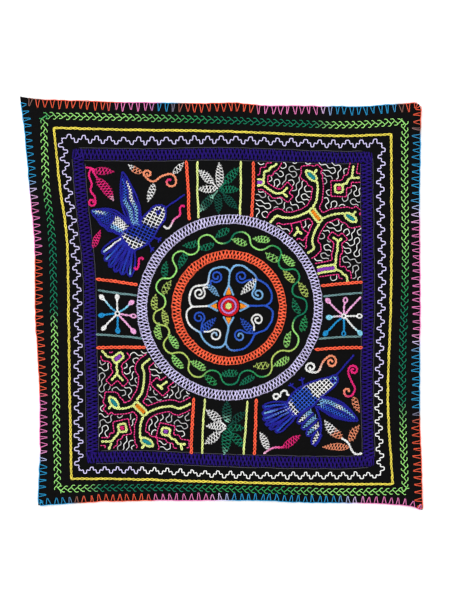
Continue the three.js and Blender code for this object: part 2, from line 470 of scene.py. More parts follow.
    # laid yarn follows its line as one tube
    laid = put(tree, "GeometryNodeMeshToCurve", {"Mesh": pickKind("laid")}).outputs[0]
    laid = put(tree, "GeometryNodeSetCurveNormal", {"Curve": laid}, mode="Z_UP").outputs[0]
    laid = store(laid, "yarnAlong", put(tree, "GeometryNodeSplineParameter").outputs["Length"])
    laid = store(laid, "stitchSpan", 1.0)
    laid = tube(laid, 0.5, 6, thick)

    joined = put(tree, "GeometryNodeJoinGeometry")
    for part in (straight, chain, *laced, laid):
        tree.links.new(part, joined.inputs[0])
    whole = put(tree, "GeometryNodeRealizeInstances", {"Geometry": joined.outputs[0]}).outputs[0]
    whole = put(tree, "GeometryNodeSetShadeSmooth", {"Geometry": whole}).outputs[0]
    whole = put(tree, "GeometryNodeSetMaterial", {"Geometry": whole, "Material": given["Yarn"]}).outputs[0]
    put(tree, "NodeGroupOutput", {0: whole})
    return tree


stitchTree = makeStitchTree()
stitchInputs = {s.name: s.identifier for s in stitchTree.interface.items_tree if s.in_out == "INPUT"}
stitchDefaults = {"Link Overlap": 1.16, "Lace Slant": 0.5, "Lace Lean": 0.2, "Arch": 0.3, "Looseness": 0.06}


# how far the hand strays from a drawn line, and over what length
handwork = {"stray": 0.7, "length": 7}


def stray(x, y):
    spot = Vector((x, y, 0)) / handwork["length"]
    aside = noise.noise(spot + Vector((0, 0, 7)))
    return x + handwork["stray"] * noise.noise(spot), y + handwork["stray"] * aside


def newDrawing():
    return {word: [] for word in ("points", "edges", "kind", "tint", "width", "thick", "pitch", "shade")}


def draw(drawing, kind, path, tint, thick=1.2, width=0.0, pitch=3.0, lift=0.0, closed=False):
    path = np.array(path, float)
    lengths = alongPath(np.vstack([path, path[:1]]) if closed else path)
    first = len(drawing["points"])
    count = len(path)
    pitch = lengths[-1] / max(1, round(lengths[-1] / pitch)) * 0.999  # a whole number of stitches
    shade = rng.uniform(0.92, 1.06)
    for i, (x, y) in enumerate(path):
        share = lengths[i] / lengths[-1]
        x, y = stray(x, y)
        drawing["points"].append((x * mm, y * mm, (clothTop(x, y) + lift) * mm))
        drawing["kind"].append(float(stitchKinds[kind]))
        drawing["tint"].append((*tintAt(tint, share), 1.0))
        drawing["width"].append((width(share) if callable(width) else width) * mm)
        drawing["thick"].append(thick * mm)
        drawing["pitch"].append(pitch * mm)
        drawing["shade"].append(shade)
    drawing["edges"] += [(first + i, first + i + 1) for i in range(count - 1)]
    if closed:
        drawing["edges"].append((first + count - 1, first))


stitchWords = {"kind": "stitchKind", "width": "workWidth", "thick": "yarnThick", "pitch": "stitchPitch",
               "shade": "stitchShade"}
keptWords = ("position", "yarnTint", "stitchShade", "stitchSpan", "yarnAlong", "yarnRound", "sharp_face",
             "material_index")
yarnPieces = []


def sew(name, drawing, **sizes):
    mesh = bpy.data.meshes.new(name + "Lines")
    mesh.from_pydata(drawing["points"], drawing["edges"], [])
    for key, word in stitchWords.items():
        mesh.attributes.new(word, "FLOAT", "POINT").data.foreach_set("value", drawing[key])
    tints = np.array(drawing["tint"], np.float32).ravel()
    mesh.attributes.new("yarnTint", "FLOAT_COLOR", "POINT").data.foreach_set("color", tints)
    piece = bpy.data.objects.new(name, mesh)
    bpy.context.scene.collection.objects.link(piece)
    stitches = piece.modifiers.new("stitches", "NODES")
    stitches.node_group = stitchTree
    for key, value in {**stitchDefaults, **sizes}.items():
        stitches[stitchInputs[key]] = value
    stitches[stitchInputs["Seed"]] = len(yarnPieces) * 100
    stitches[stitchInputs["Yarn"]] = yarnMaterial
    graph = bpy.context.evaluated_depsgraph_get()
    sewn = bpy.data.meshes.new_from_object(piece.evaluated_get(graph), preserve_all_data_layers=True,
                                           depsgraph=graph)
    piece.modifiers.remove(stitches)
    piece.data = sewn
    sewn.name = name
    bpy.data.meshes.remove(mesh)
    for word in [a.name for a in sewn.attributes]:
        if word not in keptWords and not word.startswith("."):
            sewn.attributes.remove(sewn.attributes[word])
    yarnPieces.append(piece)
    sewn.calc_loop_triangles()
    print("sewn:", name, len(sewn.loop_triangles), "triangles")
    return piece


def circle(middle, radius, start=0.0, sweep=360.0, step=1.5):
    parts = max(6, round(abs(math.radians(sweep)) * radius / step))
    turns = np.radians(start + np.linspace(0, sweep, parts + 1))
    return np.array(middle) + radius * np.stack([np.cos(turns), np.sin(turns)], 1)


def spiral(middle, outer, inner, start, sweep, step=1.2):
    # from the outer radius inwards, sweep in degrees, left-handed when negative
    parts = max(8, round(abs(math.radians(sweep)) * (outer + inner) / 2 / step))
    share = np.linspace(0, 1, parts + 1)
    turns = np.radians(start + sweep * share)
    radii = outer + (inner - outer) * share ** 1.15
    return np.array(middle) + radii[:, None] * np.stack([np.cos(turns), np.sin(turns)], 1)


def polar(middle, degrees, radius):
    return np.array(middle) + radius * np.array([math.cos(math.radians(degrees)),
                                                 math.sin(math.radians(degrees))])


def lens(width, fullAt=0.4):
    # widest nearer the base than the tip
    power = math.log(0.5) / math.log(fullAt)
    return lambda share: width * max(0.05, math.sin(math.pi * min(max(share, 0), 1) ** power) ** 0.8)


def hem(drawing, path, width, tint, thick, share, closed=False):
    # fine yarn that catches down the ends of laced work on both sides
    points, runs = evenSteps(path, max(8, round(alongPath(path)[-1] / 2)))
    wide = np.array([width(place) if callable(width) else width for place in np.linspace(0, 1, len(points))])
    for way in (-1, 1):
        edge = points + leftOf(runs) * (way * share / 2 * wide)[:, None]
        draw(drawing, "laid", edge[:-1] if closed else edge, tint, thick, lift=0.15, closed=closed)


def leaf(drawing, base, tip, width, tint, thick=0.66, pitch=3.3, bend=0.0):
    # laced leaf, its midrib bent to the left by a share of its length
    base, tip = np.array(base, float), np.array(tip, float)
    run = tip - base
    middle = (base + tip) / 2 + np.array([-run[1], run[0]]) * bend
    path = smoothPath([base, middle, tip], 1)
    shape = lens(width)
    first, last = 0.05, 0.95
    inner = path[round(len(path) * first):round(len(path) * last)]
    draw(drawing, "laced", inner, tint, thick, lambda share: shape(first + share * (last - first)), pitch)
    hem(drawing, path, shape, tint, thick * 0.5, 0.84)


def chain(drawing, path, tint, width=2.4, pitch=3.6, closed=False, lift=0.0):
    draw(drawing, "chain", path, tint, 1.2, width, pitch, lift, closed)


# the black cotton itself
def makeCloth():
    outline = []
    for side in rimSides:
        points, runs = evenSteps(side, cloth["stations"] // 4)
        outline += list(points[:-1])
    outline = np.array(outline)[::-1]
    count = len(outline)
    reaches = 1 - np.linspace(0, 1, cloth["reaches"], endpoint=False) ** 0.85
    verts = []
    for reach in reaches:
        for p in centre + (outline - centre) * reach:
            verts.append((p[0] * mm, p[1] * mm, clothTop(p[0], p[1]) * mm))
    verts.append((centre[0] * mm, centre[1] * mm, clothTop(*centre) * mm))
    faces = []
    for k in range(len(reaches) - 1):
        for i in range(count):
            j = (i + 1) % count
            faces.append((k * count + i, k * count + j, (k + 1) * count + j, (k + 1) * count + i))
    last = (len(reaches) - 1) * count
    faces += [(last + i, last + (i + 1) % count, len(verts) - 1) for i in range(count)]
    mesh = bpy.data.meshes.new("cloth_face")
    mesh.from_pydata(verts, [], faces)
    mesh.materials.append(cottonMaterial)
    mesh.shade_smooth()
    piece = bpy.data.objects.new("cotton_cloth", mesh)
    bpy.context.scene.collection.objects.link(piece)
    wall = piece.modifiers.new("thickness", "SOLIDIFY")
    wall.thickness = cloth["thickness"] * mm
    wall.offset = -1
    graph = bpy.context.evaluated_depsgraph_get()
    whole = bpy.data.meshes.new_from_object(piece.evaluated_get(graph), depsgraph=graph)
    piece.modifiers.remove(wall)
    piece.data = whole
    bpy.data.meshes.remove(mesh)
    x, y = outline[:, 0], outline[:, 1]
    area = abs(np.dot(x, np.roll(y, 1)) - np.dot(y, np.roll(x, 1))) / 2
    print("cloth: made,", len(whole.polygons), "faces,", round(area), "square mm")
    return piece, area * mm * mm, np.ptp(outline, axis=0) * mm


clothPiece, clothArea, clothFlat = makeCloth()

# blanket edging, closed in pairs: two legs from the rim run together into one point
edging = {
    "pitch": 8.0,
    "depths": (9.4, 9.0, 7.8, 8.4),  # top, right, bottom, left
    "spread": 0.56,  # feet apart, as a share of the pitch
    "yarn": 0.68,
    "rimYarn": 0.9,
    "bareTip": 4.5,  # at the top left corner
    "footIn": 0.4,  # where a leg starts, in from the rim
    "rimOut": 0.6,  # from there out to the yarn along the rim
    "tipGap": 0.35,  # half the room between two legs at their point
    "endDepth": 0.7,  # of the first and last stitch, as a share
    "tints": [
        stops("brown", 0.03, 0.045, "coral", 0.22, 0.25, "pink", 0.325, 0.345, "azure", 0.37, 0.39, "brown",
              0.39, 0.43, "coral", 0.58, 0.605, "pink", 0.745, 0.765, "lavender", 0.765, 0.785, "azure",
              0.935, 0.955, "brown", 0.955, 0.975, "coral"),
        stops("coral", 0.04, 0.06, "brown", 0.06, 0.08, "azure", 0.235, 0.265, "lavender", 0.265, 0.3,
              "pink", 0.565, 0.59, "lavender", 0.59, 0.61, "azure", 0.75, 0.77, "brown", 0.77, 0.79, "coral"),
        stops("pink", 0.15, 0.18, "lavender", 0.18, 0.22, "azure", 0.49, 0.52, "lavender", 0.52, 0.56,
              "pink", 0.69, 0.715, "coral", 0.875, 0.9, "brown", 0.9, 0.925, "azure"),
        stops("azure", 0.1, 0.12, "lavender", 0.12, 0.135, "pink", 0.26, 0.28, "coral", 0.605, 0.63, "pink",
              0.74, 0.785, "lavender", 0.785, 0.805, "azure"),
    ],
}


def makeEdging():
    drawing = newDrawing()
    for number, (side, tint) in enumerate(zip(rimSides, edging["tints"])):
        if number == 3:
            lengths = alongPath(side)
            side = side[lengths < lengths[-1] - edging["bareTip"]]
        count = round(alongPath(side)[-1] / edging["pitch"])
        points, runs = evenSteps(side, count * 4)
        inward = -leftOf(runs)  # the rim runs clockwise
        feet = []
        for i in range(number == 0, count):  # the top side leaves the tip at the left bare
            k = i * 4 + 2
            jog = rng.uniform(-0.8, 0.8)
            atEnd = edging["endDepth"] if i in (0, count - 1) else 1
            depth = edging["depths"][number] * rng.uniform(0.88, 1.06) * atEnd
            near = tintAt(tint, k / (count * 4))
            for way in (-1, 1):
                half = edging["pitch"] * edging["spread"] / 2 * rng.uniform(0.55, 1.3)
                foot = points[k] + runs[k] * (way * half + jog * 0.5) + inward[k] * edging["footIn"]
                feet.append(foot - inward[k] * edging["rimOut"])
                apex = points[k] + runs[k] * (way * edging["tipGap"] + jog) + inward[k] * depth
                leg = smoothPath([foot, apex], 2.5)
                draw(drawing, "laid", leg, near, edging["yarn"] * rng.uniform(0.9, 1.1), lift=0.3)
        draw(drawing, "laid", smoothPath(feet, 2.5), tint, edging["rimYarn"], lift=-0.1)
    return sew("edging", drawing)


makeEdging()


def borderSides(rows):
    # four sides clockwise from the top left; each row starts at its corner
    sides = []
    for k in range(4):
        sides.append(smoothPath([*rows[k], rows[(k + 1) % 4][0]], 2))
    return sides


# feather stitch: a zigzag spine with an arm hooked back from every catch
feather = {
    "pitch": 7.4,
    "width": 6.8,
    "yarn": 0.8,
    "rows": [
        [(-199.4, 210.7), (-113.9, 209), (4.2, 205.6), (128, 200.5)],
        [(206.2, 203.9), (206.2, 116.2), (206.7, 26.2), (203.3, -86.3)],
        [(206.7, -211.2), (122.3, -211.8), (4.2, -208.4), (-113.9, -207.3)],
        [(-183.7, -209), (-185.9, -108.8), (-188.2, 3.7), (-189.8, 71.2), (-197.2, 138.7)],
    ],
    "tints": [
        stops("green", 0, 0.04, "lightGreen", 0.2, 0.4, "green", 0.4, 0.5, "darkGreen", 0.75, 0.82,
              "lightGreen"),
        stops("lightGreen", 0.3, 0.45, "green", 0.45, 0.52, "darkGreen", 0.76, 0.84, "lightGreen"),
        stops("lightGreen", 0.2, 0.35, "green", 0.55, 0.62, "darkGreen", 0.88, 0.93, "lightGreen"),
        stops("lightGreen", 0.43, 0.48, "darkGreen", 0.66, 0.75, "green", 0.75, 0.86, "lightGreen", 0.98, 1,
              "green"),
    ],
}


def makeFeather():
    drawing = newDrawing()
    for side, tint in zip(borderSides(feather["rows"]), feather["tints"]):
        count = round(alongPath(side)[-1] / feather["pitch"]) * 2
        points, runs = evenSteps(side, count)
        left = leftOf(runs)
        share = np.linspace(0, 1, count + 1)
        half = feather["width"] / 2
        step = feather["pitch"] / 2
        catches = []
        for i in range(count + 1):
            way = 1 if i % 2 else -1
            catch = points[i] + left[i] * way * half * 0.42 + runs[i] * rng.uniform(-0.4, 0.4)
            catches.append(catch)
            reach = half * rng.uniform(0.9, 1.1)
            bend = points[i] - runs[i] * step * 0.55 + left[i] * way * reach * 1.02
            end = points[i] - runs[i] * step * rng.uniform(1.05, 1.3) + left[i] * way * reach * 0.98
            draw(drawing, "laid", smoothPath([end, bend, catch], 1.2), tintAt(tint, share[i]),
                 feather["yarn"], lift=0.45)
        draw(drawing, "straight", catches, tint, feather["yarn"], lift=0.15)
    return sew("feather_border", drawing)


makeFeather()

# the yellow chain line
chainLine = {
    "width": 2.8,
    "pitch": 5.2,
    # one orange link in the bottom side
    "mended": stops("yellow", 0.105, 0.109, "orange", 0.109, 0.113, "yellow"),
    "rows": [
        [(-188.2, 197.2), (-104.9, 194.9), (4.2, 193.2), (124.6, 188.2)],
        [(191, 189.8), (191.5, 76.8), (190.4, -7.6), (187.3, -108.8)],
        [(192.7, -203.3), (111.1, -203.1), (9.8, -201.1), (-102.7, -197.7)],
        [(-168.5, -197.2), (-170.2, -108.8), (-171.5, -18.8), (-173.5, 71.2), (-181.4, 131.9)],
    ],
}


def makeChainLine():
    drawing = newDrawing()
    for k, side in enumerate(borderSides(chainLine["rows"])):
        chain(drawing, side, chainLine["mended"] if k == 2 else "yellow", chainLine["width"],
              chainLine["pitch"])
    return sew("chain_border", drawing, **{"Link Overlap": 1.4})


makeChainLine()

# the stepped wave: each slope has a small level step halfway
steppedWave = {
    "periods": (23, 25, 24, 24),  # top, right, bottom, left
    "heights": (8.4, 8.1, 7.2, 9.2),
    "drift": 0.16,  # how far the steps wander along the line, in periods
    "yarn": 1.05,
    "fine": 100,  # steps to a period
    "cornerCut": 12,  # of them left out at each end
    "shape": [(0, -1), (0.07, -1), (0.1, -0.85), (0.13, -0.1), (0.17, 0.08), (0.3, -0.08), (0.35, 0.1),
              (0.38, 0.85),
              (0.42, 1), (0.5, 1), (0.58, 1), (0.62, 0.85), (0.65, 0.1), (0.7, -0.08), (0.83, 0.08),
              (0.87, -0.1),
              (0.9, -0.85), (0.93, -1)],
    "rows": [
        [(-179.2, 185.9), (-102.7, 182.5), (9.8, 183.7), (122.3, 179.2)],
        [(180.8, 180.3), (178.9, 116.2), (180.8, 26.2), (176.9, -108.8)],
        [(179.2, -193.2), (122.3, -193.8), (9.8, -192.7), (-91.4, -187.6)],
        [(-160, -187.6), (-160.6, -108.8), (-161.2, -18.8), (-163.4, 48.7), (-170.7, 116.2)],
    ],
    "tints": [
        "lavender",
        stops("lavender", 0.72, 0.76, "white"),
        stops("white", 0.78, 0.82, "lavender"),
        "lavender",
    ],
}


def makeSteppedWave():
    drawing = newDrawing()
    for number, (side, tint) in enumerate(zip(borderSides(steppedWave["rows"]), steppedWave["tints"])):
        periods = steppedWave["periods"][number]
        fine = periods * steppedWave["fine"]
        cut = steppedWave["cornerCut"]
        points, runs = evenSteps(side, fine)
        left = leftOf(runs)
        line = [points[0]]
        for n in range(periods):
            tall = steppedWave["heights"][number] / 2 * rng.uniform(0.9, 1.06)
            for place, rise in steppedWave["shape"]:
                fromEnd = min(n + place, periods - n - place, 2) / 2
                drift = steppedWave["drift"] * noise.noise(Vector(((n + place) * 0.4, number * 5.3, 0)))
                k = round((n + place + drift * fromEnd) * steppedWave["fine"])
                if cut < k < fine - cut:  # sides meet halfway up, at the corner
                    line.append(points[k] + left[k] * rise * tall)
        line.append(points[-1])
        draw(drawing, "laid", smoothPath(line, 0.9), tint, steppedWave["yarn"], lift=0.35)
    return sew("stepped_border", drawing)


makeSteppedWave()

# laced bands: the square frame and the two rings
lacedFrame = {
    "width": 12.2,
    "pitch": 4.3,
    "yarn": 1.74,
    "guide": 0.5,
    "guideGap": 1.0,
    "caps": (0.6, 3.2),  # upright end stitches, in from the corner
    "capYarn": 0.85,  # as a share of the yarn
    "capShort": 0.3,
    "capRoom": 4.5,  # the lacing stops this far short of the corner
    "rows": [
        [(-160.9, 167.7), (-80.2, 166.8), (4.2, 168.1), (122.3, 164)],
        [(163.4, 164.1), (164.5, 71.2), (165.4, 3.7), (164, -86.3)],
        [(165.8, -177.5), (122.3, -179.2), (9.8, -176.9), (-91.4, -172.7)],
        [(-144.8, -173.5), (-145.4, -108.8), (-147.4, -30.1), (-148.8, 37.4), (-157.2, 116.2)],
    ],
}


def makeLacedFrame():
    drawing = newDrawing()
    half = lacedFrame["width"] / 2
    for k, side in enumerate(borderSides(lacedFrame["rows"])):
        count = round(alongPath(side)[-1])
        points, runs = evenSteps(side, count)
        level = k % 2 == 0
        if level:
            past = half - lacedFrame["capRoom"]
            band = np.vstack([points[0] - runs[0] * past, points, points[-1] + runs[-1] * past])
        else:  # the upright sides stop at the level ones
            band = points[round(half):-round(half)]
        draw(drawing, "laced", band, "indigo", lacedFrame["yarn"], lacedFrame["width"], lacedFrame["pitch"])
        caps = [(end, out, inward) for end, out in ((0, -1), (-1, 1)) for inward in lacedFrame["caps"]]
        for end, out, inward in caps if level else []:  # upright stitches close the level bands
            spot = points[end] + runs[end] * out * (half - inward)
            across = leftOf(runs)[end] * (half - lacedFrame["capShort"])
            thick = lacedFrame["yarn"] * lacedFrame["capYarn"]
            draw(drawing, "straight", [spot - across, spot + across], "indigo", thick)
        for way, cut in ((1, 1), (-1, round(half) + 1)):  # fine guide threads along both edges
            guide = points[cut:-cut] + leftOf(runs)[cut:-cut] * way * (half + lacedFrame["guideGap"])
            draw(drawing, "laid", guide[::6], "ash", lacedFrame["guide"], lift=0.1)
    return sew("laced_frame", drawing, **{"Lace Slant": 0.43, "Lace Lean": 0.0, "Looseness": 0.1})


makeLacedFrame()

# wide: narrowest and widest place, and where round the ring it is widest
rings = {
    "outer_ring": {"middle": (10, -4.6), "radius": 99.2, "wide": (9.6, 11.4, 190), "tint": "lavender",
                   "pitch": 3.9,
                   "slant": 0.41, "lean": 0.1, "yarn": 0.88},
    "inner_ring": {"middle": (9.2, -5.1), "radius": 59.9, "wide": (8, 10, 160), "tint": "scarlet",
                   "pitch": 3.9,
                   "slant": 0.42, "lean": 0.14, "yarn": 1.22},
}


def makeRing(name):
    ring = rings[name]
    drawing = newDrawing()
    path = circle(ring["middle"], ring["radius"])[:-1]
    narrow, full, widest = ring["wide"]

    def wide(share):
        return (narrow + full) / 2 + (full - narrow) / 2 * math.cos(math.radians(share * 360 - widest))

    draw(drawing, "laced", path, ring["tint"], ring["yarn"], wide, ring["pitch"], closed=True)
    hem(drawing, np.vstack([path, path[:1]]), wide, ring["tint"], ring["yarn"] * 0.45, 0.93, closed=True)
    return sew(name, drawing, **{"Lace Slant": ring["slant"], "Lace Lean": ring["lean"], "Looseness": 0.13})


makeRing("outer_ring")
makeRing("inner_ring")

# the leafy wreath between the rings; angles in degrees, anticlockwise from the right
wreath = {
    "middle": (9.8, -5.3),
    "radius": 79.6,
    "wave": 7.0,
    "crests": [2, 27, 51, 81, 110, 135, 162, 188, 212, 242, 270, 298, 331],
    "leaf": (17.8, 8.2),
    "leafRadii": (84.2, 74.6),  # in the hollows, under the crests
    "root": -38,  # leaves grow both ways from here round to the far side
    "vine": stops("darkGreen", 0, 55, "green", 55, 62, "lightGreen", 78, 84, "darkGreen", 94, 99,
                  "lightGreen", 172, 182, "pear", 244, 252, "green", 252, 275, "darkGreen", 275, 296,
                  "green", 296, 302, "pear", 325, 332, "lightGreen", 344, 350, "darkGreen", high=360),
    "leaves": stops("darkGreen", 0, 8, "green", 8, 14, "pear", 28, 40, "lightGreen", 84, 95, "darkGreen",
                    152, 163, "pear", 192, 202, "lightGreen", 242, 254, "green", 254, 272, "darkGreen", 286,
                    298, "pear", 306, 316, "lightGreen", 334, 344, "green", 344, 360, "darkGreen", high=360),
}


def makeWreath():
    drawing = newDrawing()
    crests = wreath["crests"]
    vine = []
    turns = []
    for k, crest in enumerate(crests):
        after = crests[(k + 1) % len(crests)] + (360 if k + 1 == len(crests) else 0)
        for t in np.linspace(0, 1, 24, endpoint=False):
            phase = t + 0.045 * math.sin(4 * math.pi * t)  # fuller at crest and hollow
            turn = crest + (after - crest) * phase
            radius = wreath["radius"] + wreath["wave"] * math.cos(2 * math.pi * t)
            vine.append(polar(wreath["middle"], turn, radius))
            turns.append(turn % 360)
        root = wreath["root"] % 360
        for place, radius in ((crest, wreath["leafRadii"][1]), ((crest + after) / 2, wreath["leafRadii"][0])):
            place = place + rng.uniform(-1.5, 1.5)
            way = 1 if (place - root) % 360 < 185 else -1
            middle = polar(wreath["middle"], place, radius)
            slant = place + way * (90 + rng.uniform(-28, 28))
            long, wide = wreath["leaf"]
            long = long * rng.uniform(0.92, 1.08)
            base, tip = polar(middle, slant + 180, long / 2), polar(middle, slant, long / 2)
            near = tintAt(wreath["leaves"], place % 360)
            leaf(drawing, base, tip, wide * rng.uniform(0.92, 1.08), near, bend=rng.uniform(-0.08, 0.08))
    before = len(drawing["tint"])  # the vine is coloured by its place round the ring
    chain(drawing, vine, "pear", 2.0, 3.3, closed=True, lift=0.1)
    drawing["tint"][before:] = [(*tintAt(wreath["vine"], turn), 1.0) for turn in turns]
    return sew("wreath", drawing)


makeWreath()

# the lobed flower in the middle
flower = {
    "middle": (8.3, -3.1),
    "eye": [(10.6, "red", 2.6), (8.0, "lilac", 2.4), (5.5, "red", 2.6), (3.0, "lime", 2.6),
            (1.0, "lime", 2.4)],
    "petalTip": 23.0,
    "spiral": (7.1, 36.0, 22.0),  # radius, how far out, degrees from the diagonal
    "stems": [("cobalt", 0.5, 41.6), ("lightBlue", 87.5, 38.6), ("white", 181.4, 41.0),
              ("lightBlue", 265, 41.8)],
    # from the upper right, anticlockwise: bulges and notch, lobes, spirals, leaf and its length
    "quarters": [
        {"reach": (50.3, 43.4, 47.9), "lobes": stops("cobalt", 0.45, 0.7, "lightBlue"),
         "spirals": ("lightBlue", "cobalt"), "leaf": "white", "long": 22.5},
        {"reach": (45.2, 34.0, 45.8), "lobes": stops("lightBlue", 0.35, 0.55, "white"),
         "spirals": ("cobalt", "white"), "leaf": "lightBlue", "long": 17},
        {"reach": (49.4, 43.4, 49.4), "lobes": stops("white", 0.3, 0.5, "lightBlue"),
         "spirals": ("cobalt", stops("white", 0.7, 1, "lightBlue")), "leaf": "cobalt", "long": 22.5},
        {"reach": (51.0, 42.8, 51.2), "lobes": stops("lightBlue", 0, 0.2, "cobalt"),
         "spirals": (stops("cobalt", 0.5, 1, "lightBlue"), "white"), "leaf": "cobalt", "long": 22},
    ],
}


def makeFlower():
    drawing = newDrawing()
    middle = np.array(flower["middle"])
    for radius, tint, width in flower["eye"]:
        chain(drawing, circle(middle, radius)[:-1], tint, width, 2.9, closed=True, lift=0.2)
    for quarter in range(4):
        axis = quarter * 90
        part = flower["quarters"][quarter]
        tip = polar(middle, axis, flower["petalTip"])
        # petal, its outline and its stem
        for way in (-1, 1):
            chain(drawing, smoothPath([polar(middle, axis + way * 25, 13.4), tip], 1), "lightBlue", 2.3, 2.6)
        for offset in (-2.2, 0, 2.2):
            start = polar(polar(middle, axis, 12.8), axis + 90, offset)
            end = polar(polar(middle, axis, 20 - abs(offset) * 1.2), axis + 90, offset * 0.3)
            chain(drawing, smoothPath([start, end], 1), "orange", 2.3, 2.6)
        tint, angle, join = flower["stems"][quarter]
        after = flower["stems"][(quarter + 1) % 4]
        chain(drawing, smoothPath([tip, polar(middle, angle, join)], 1), tint, 2.4, 2.9)
        # two lobes meeting in a notch near the diagonal
        near, notch, far = part["reach"]
        turns = (0, 0.07, 0.2, 0.33, 0.44, 0.5, 0.56, 0.67, 0.8, 0.93, 1)
        radii = (join, near - 2, near, near - 1.5, notch + 2.2, notch, notch + 2.2, far - 1.5, far, far - 2,
                 after[2])
        sweep = (after[1] - angle) % 360
        lobes = [polar(middle, angle + sweep * turn, radius) for turn, radius in zip(turns, radii)]
        chain(drawing, smoothPath(lobes, 1), part["lobes"], 2.4, 3.1)
        # the leaf at the notch and a spiral on each side of it
        diagonal = angle + sweep / 2
        base = polar(middle, diagonal, notch - 0.5)
        leaf(drawing, base, polar(middle, diagonal, notch - 0.5 - part["long"]), part["long"] * 0.4,
             part["leaf"])
        radius, out, apart = flower["spiral"]
        for way, tint in zip((-1, 1), part["spirals"]):
            turn = diagonal + way * apart
            hub = polar(middle, turn, out)
            curl = spiral(hub, radius, 1.6, turn - way * 100, -way * 560)
            chain(drawing, smoothPath([polar(middle, diagonal + way * 3, notch - 3), *curl[::3]], 1), tint,
                  2.1, 2.8)
    return sew("medallion", drawing)


makeFlower()

# chain lines that part the side strips from the corner panels
dividers = {
    "coral": (3.8, 4.6),  # width and pitch
    "lime": (2.5, 4.2),
    "tealGrey": (2.5, 4.0),
    "lines": [
        ("coral", (-39.2, 159.5), (-36.3, 94)), ("lime", (-26.7, 159.1), (-25.6, 96.2)),
        ("lime", (21.8, 159.5), (20.9, 100.1)), ("coral", (36.1, 159.1), (34.1, 97.5)),
        ("coral", (-30.8, -106.6), (-33.7, -169)), ("lime", (-18.3, -107), (-21.4, -169)),
        ("lime", (29.3, -110), (25.1, -169.7)), ("coral", (39.3, -107.7), (37.1, -170)),
        ("coral", (-140.3, 27.3), (-94.8, 20.8)), ("tealGrey", (-138.8, 14.5), (-95.3, 8.6)),
        ("tealGrey", (-140.7, -35), (-90.3, -39.7)), ("coral", (-140.1, -50), (-85.8, -49.7)),
        ("coral", (112.4, 19.4), (158.3, 23.3)), ("tealGrey", (114.8, 7.9), (157.8, 11.4)),
        ("tealGrey", (109.9, -39.7), (157.2, -37.5)), ("coral", (105.7, -52.1), (158.2, -49.9)),
    ],
}


def makeDividers():
    drawing = newDrawing()
    for tint, start, end in dividers["lines"]:
        start, end = np.array(start), np.array(end)
        run = end - start
        bow = np.array([-run[1], run[0]]) * rng.uniform(-0.015, 0.015)
        width, pitch = dividers[tint]
        chain(drawing, smoothPath([start, (start + end) / 2 + bow, end], 2), tint, width, pitch)
    return sew("divider_lines", drawing, **{"Link Overlap": 1.36})


makeDividers()

# stars of eight laced leaves, above and below; angle, from, to, width, yarn
leafStars = [
    {"middle": (-2.7, 127.9), "leaves": [
        (0, 2.5, 22, 9, "darkGreen"), (47, 10, 32.4, 10.5, "darkGreen"), (89, 3.4, 29.2, 9.5, "white"),
        (135, 10, 30.4, 10, "white"), (180, 3.4, 22.5, 9, "white"),
        (229, 10, 31.5, 10.5, stops("mint", 0, 0.2, "deepGreen", 0.6, 1, "mint")),
        (270, 5.6, 26, 9.5, "deepGreen"), (314, 9, 29.2, 10, "deepGreen")]},
    {"middle": (6.4, -139.4), "leaves": [
        (358, 2.3, 19, 8.5, "darkGreen"), (40, 8, 26, 9.5, "deepGreen"),
        (89.5, 5.8, 28.5, 11.4, stops("mint", 0, 0.35, "deepGreen")), (140, 10, 29.2, 10, "white"),
        (177, 2.3, 22.5, 9, "white"), (217, 10, 30.4, 10, "white"), (309, 9, 28, 10, "darkGreen"),
        (265, 3.4, 29.6, 11.6, stops("darkGreen", 0.7, 1, "mint"))]},
]


def makeLeafStars():
    drawing = newDrawing()
    for star in leafStars:
        for angle, start, end, width, tint in star["leaves"]:
            base, tip = polar(star["middle"], angle, start), polar(star["middle"], angle, end)
            leaf(drawing, base, tip, width, tint, bend=rng.uniform(-0.04, 0.04))
            if start > 6:  # a short stem into the middle
                chain(drawing, smoothPath([polar(star["middle"], angle, 1), base], 1), tint, 1.8, 2.8)
    return sew("leaf_stars", drawing)


makeLeafStars()

# stars of eight chain arms with bulbs, left and right; angle, length, bulb, yarn
bulbStars = [
    {"middle": (-116.8, -11.6), "arms": [
        (90, 22, "bulb", "white"), (38, 23.6, "bulb", stops("sky", 0, 0.4, "ice", 0.8, 1, "rose")),
        (-8, 21.4, "ring", "rose"),
        (-48, 30, "bulb", "rose"), (-88, 22.5, "bulb", "sky"), (227, 25.4, "bulb", "white"),
        (186, 21.4, "bulb", "sky"),
        (134, 28.7, "bulb", stops("sky", 0, 0.6, "ice", 0.6, 1, "white"))]},
    {"middle": (137.6, -14.4), "arms": [
        (84, 21.4, "ring", "rose"), (48, 29.2, "bare", "rose"), (0, 21, "ring", "white"),
        (-46, 29.7, "bulb", stops("white", 0.6, 1, "ice")), (-90, 22.8, "ring", "sky"),
        (224, 31.5, "bulb", "sky"), (185, 19.7, "bulb", stops("rose", 0, 0.5, "white", 0.5, 1, "ice")),
        (136, 27.8, "bulb", "rose")]},
]


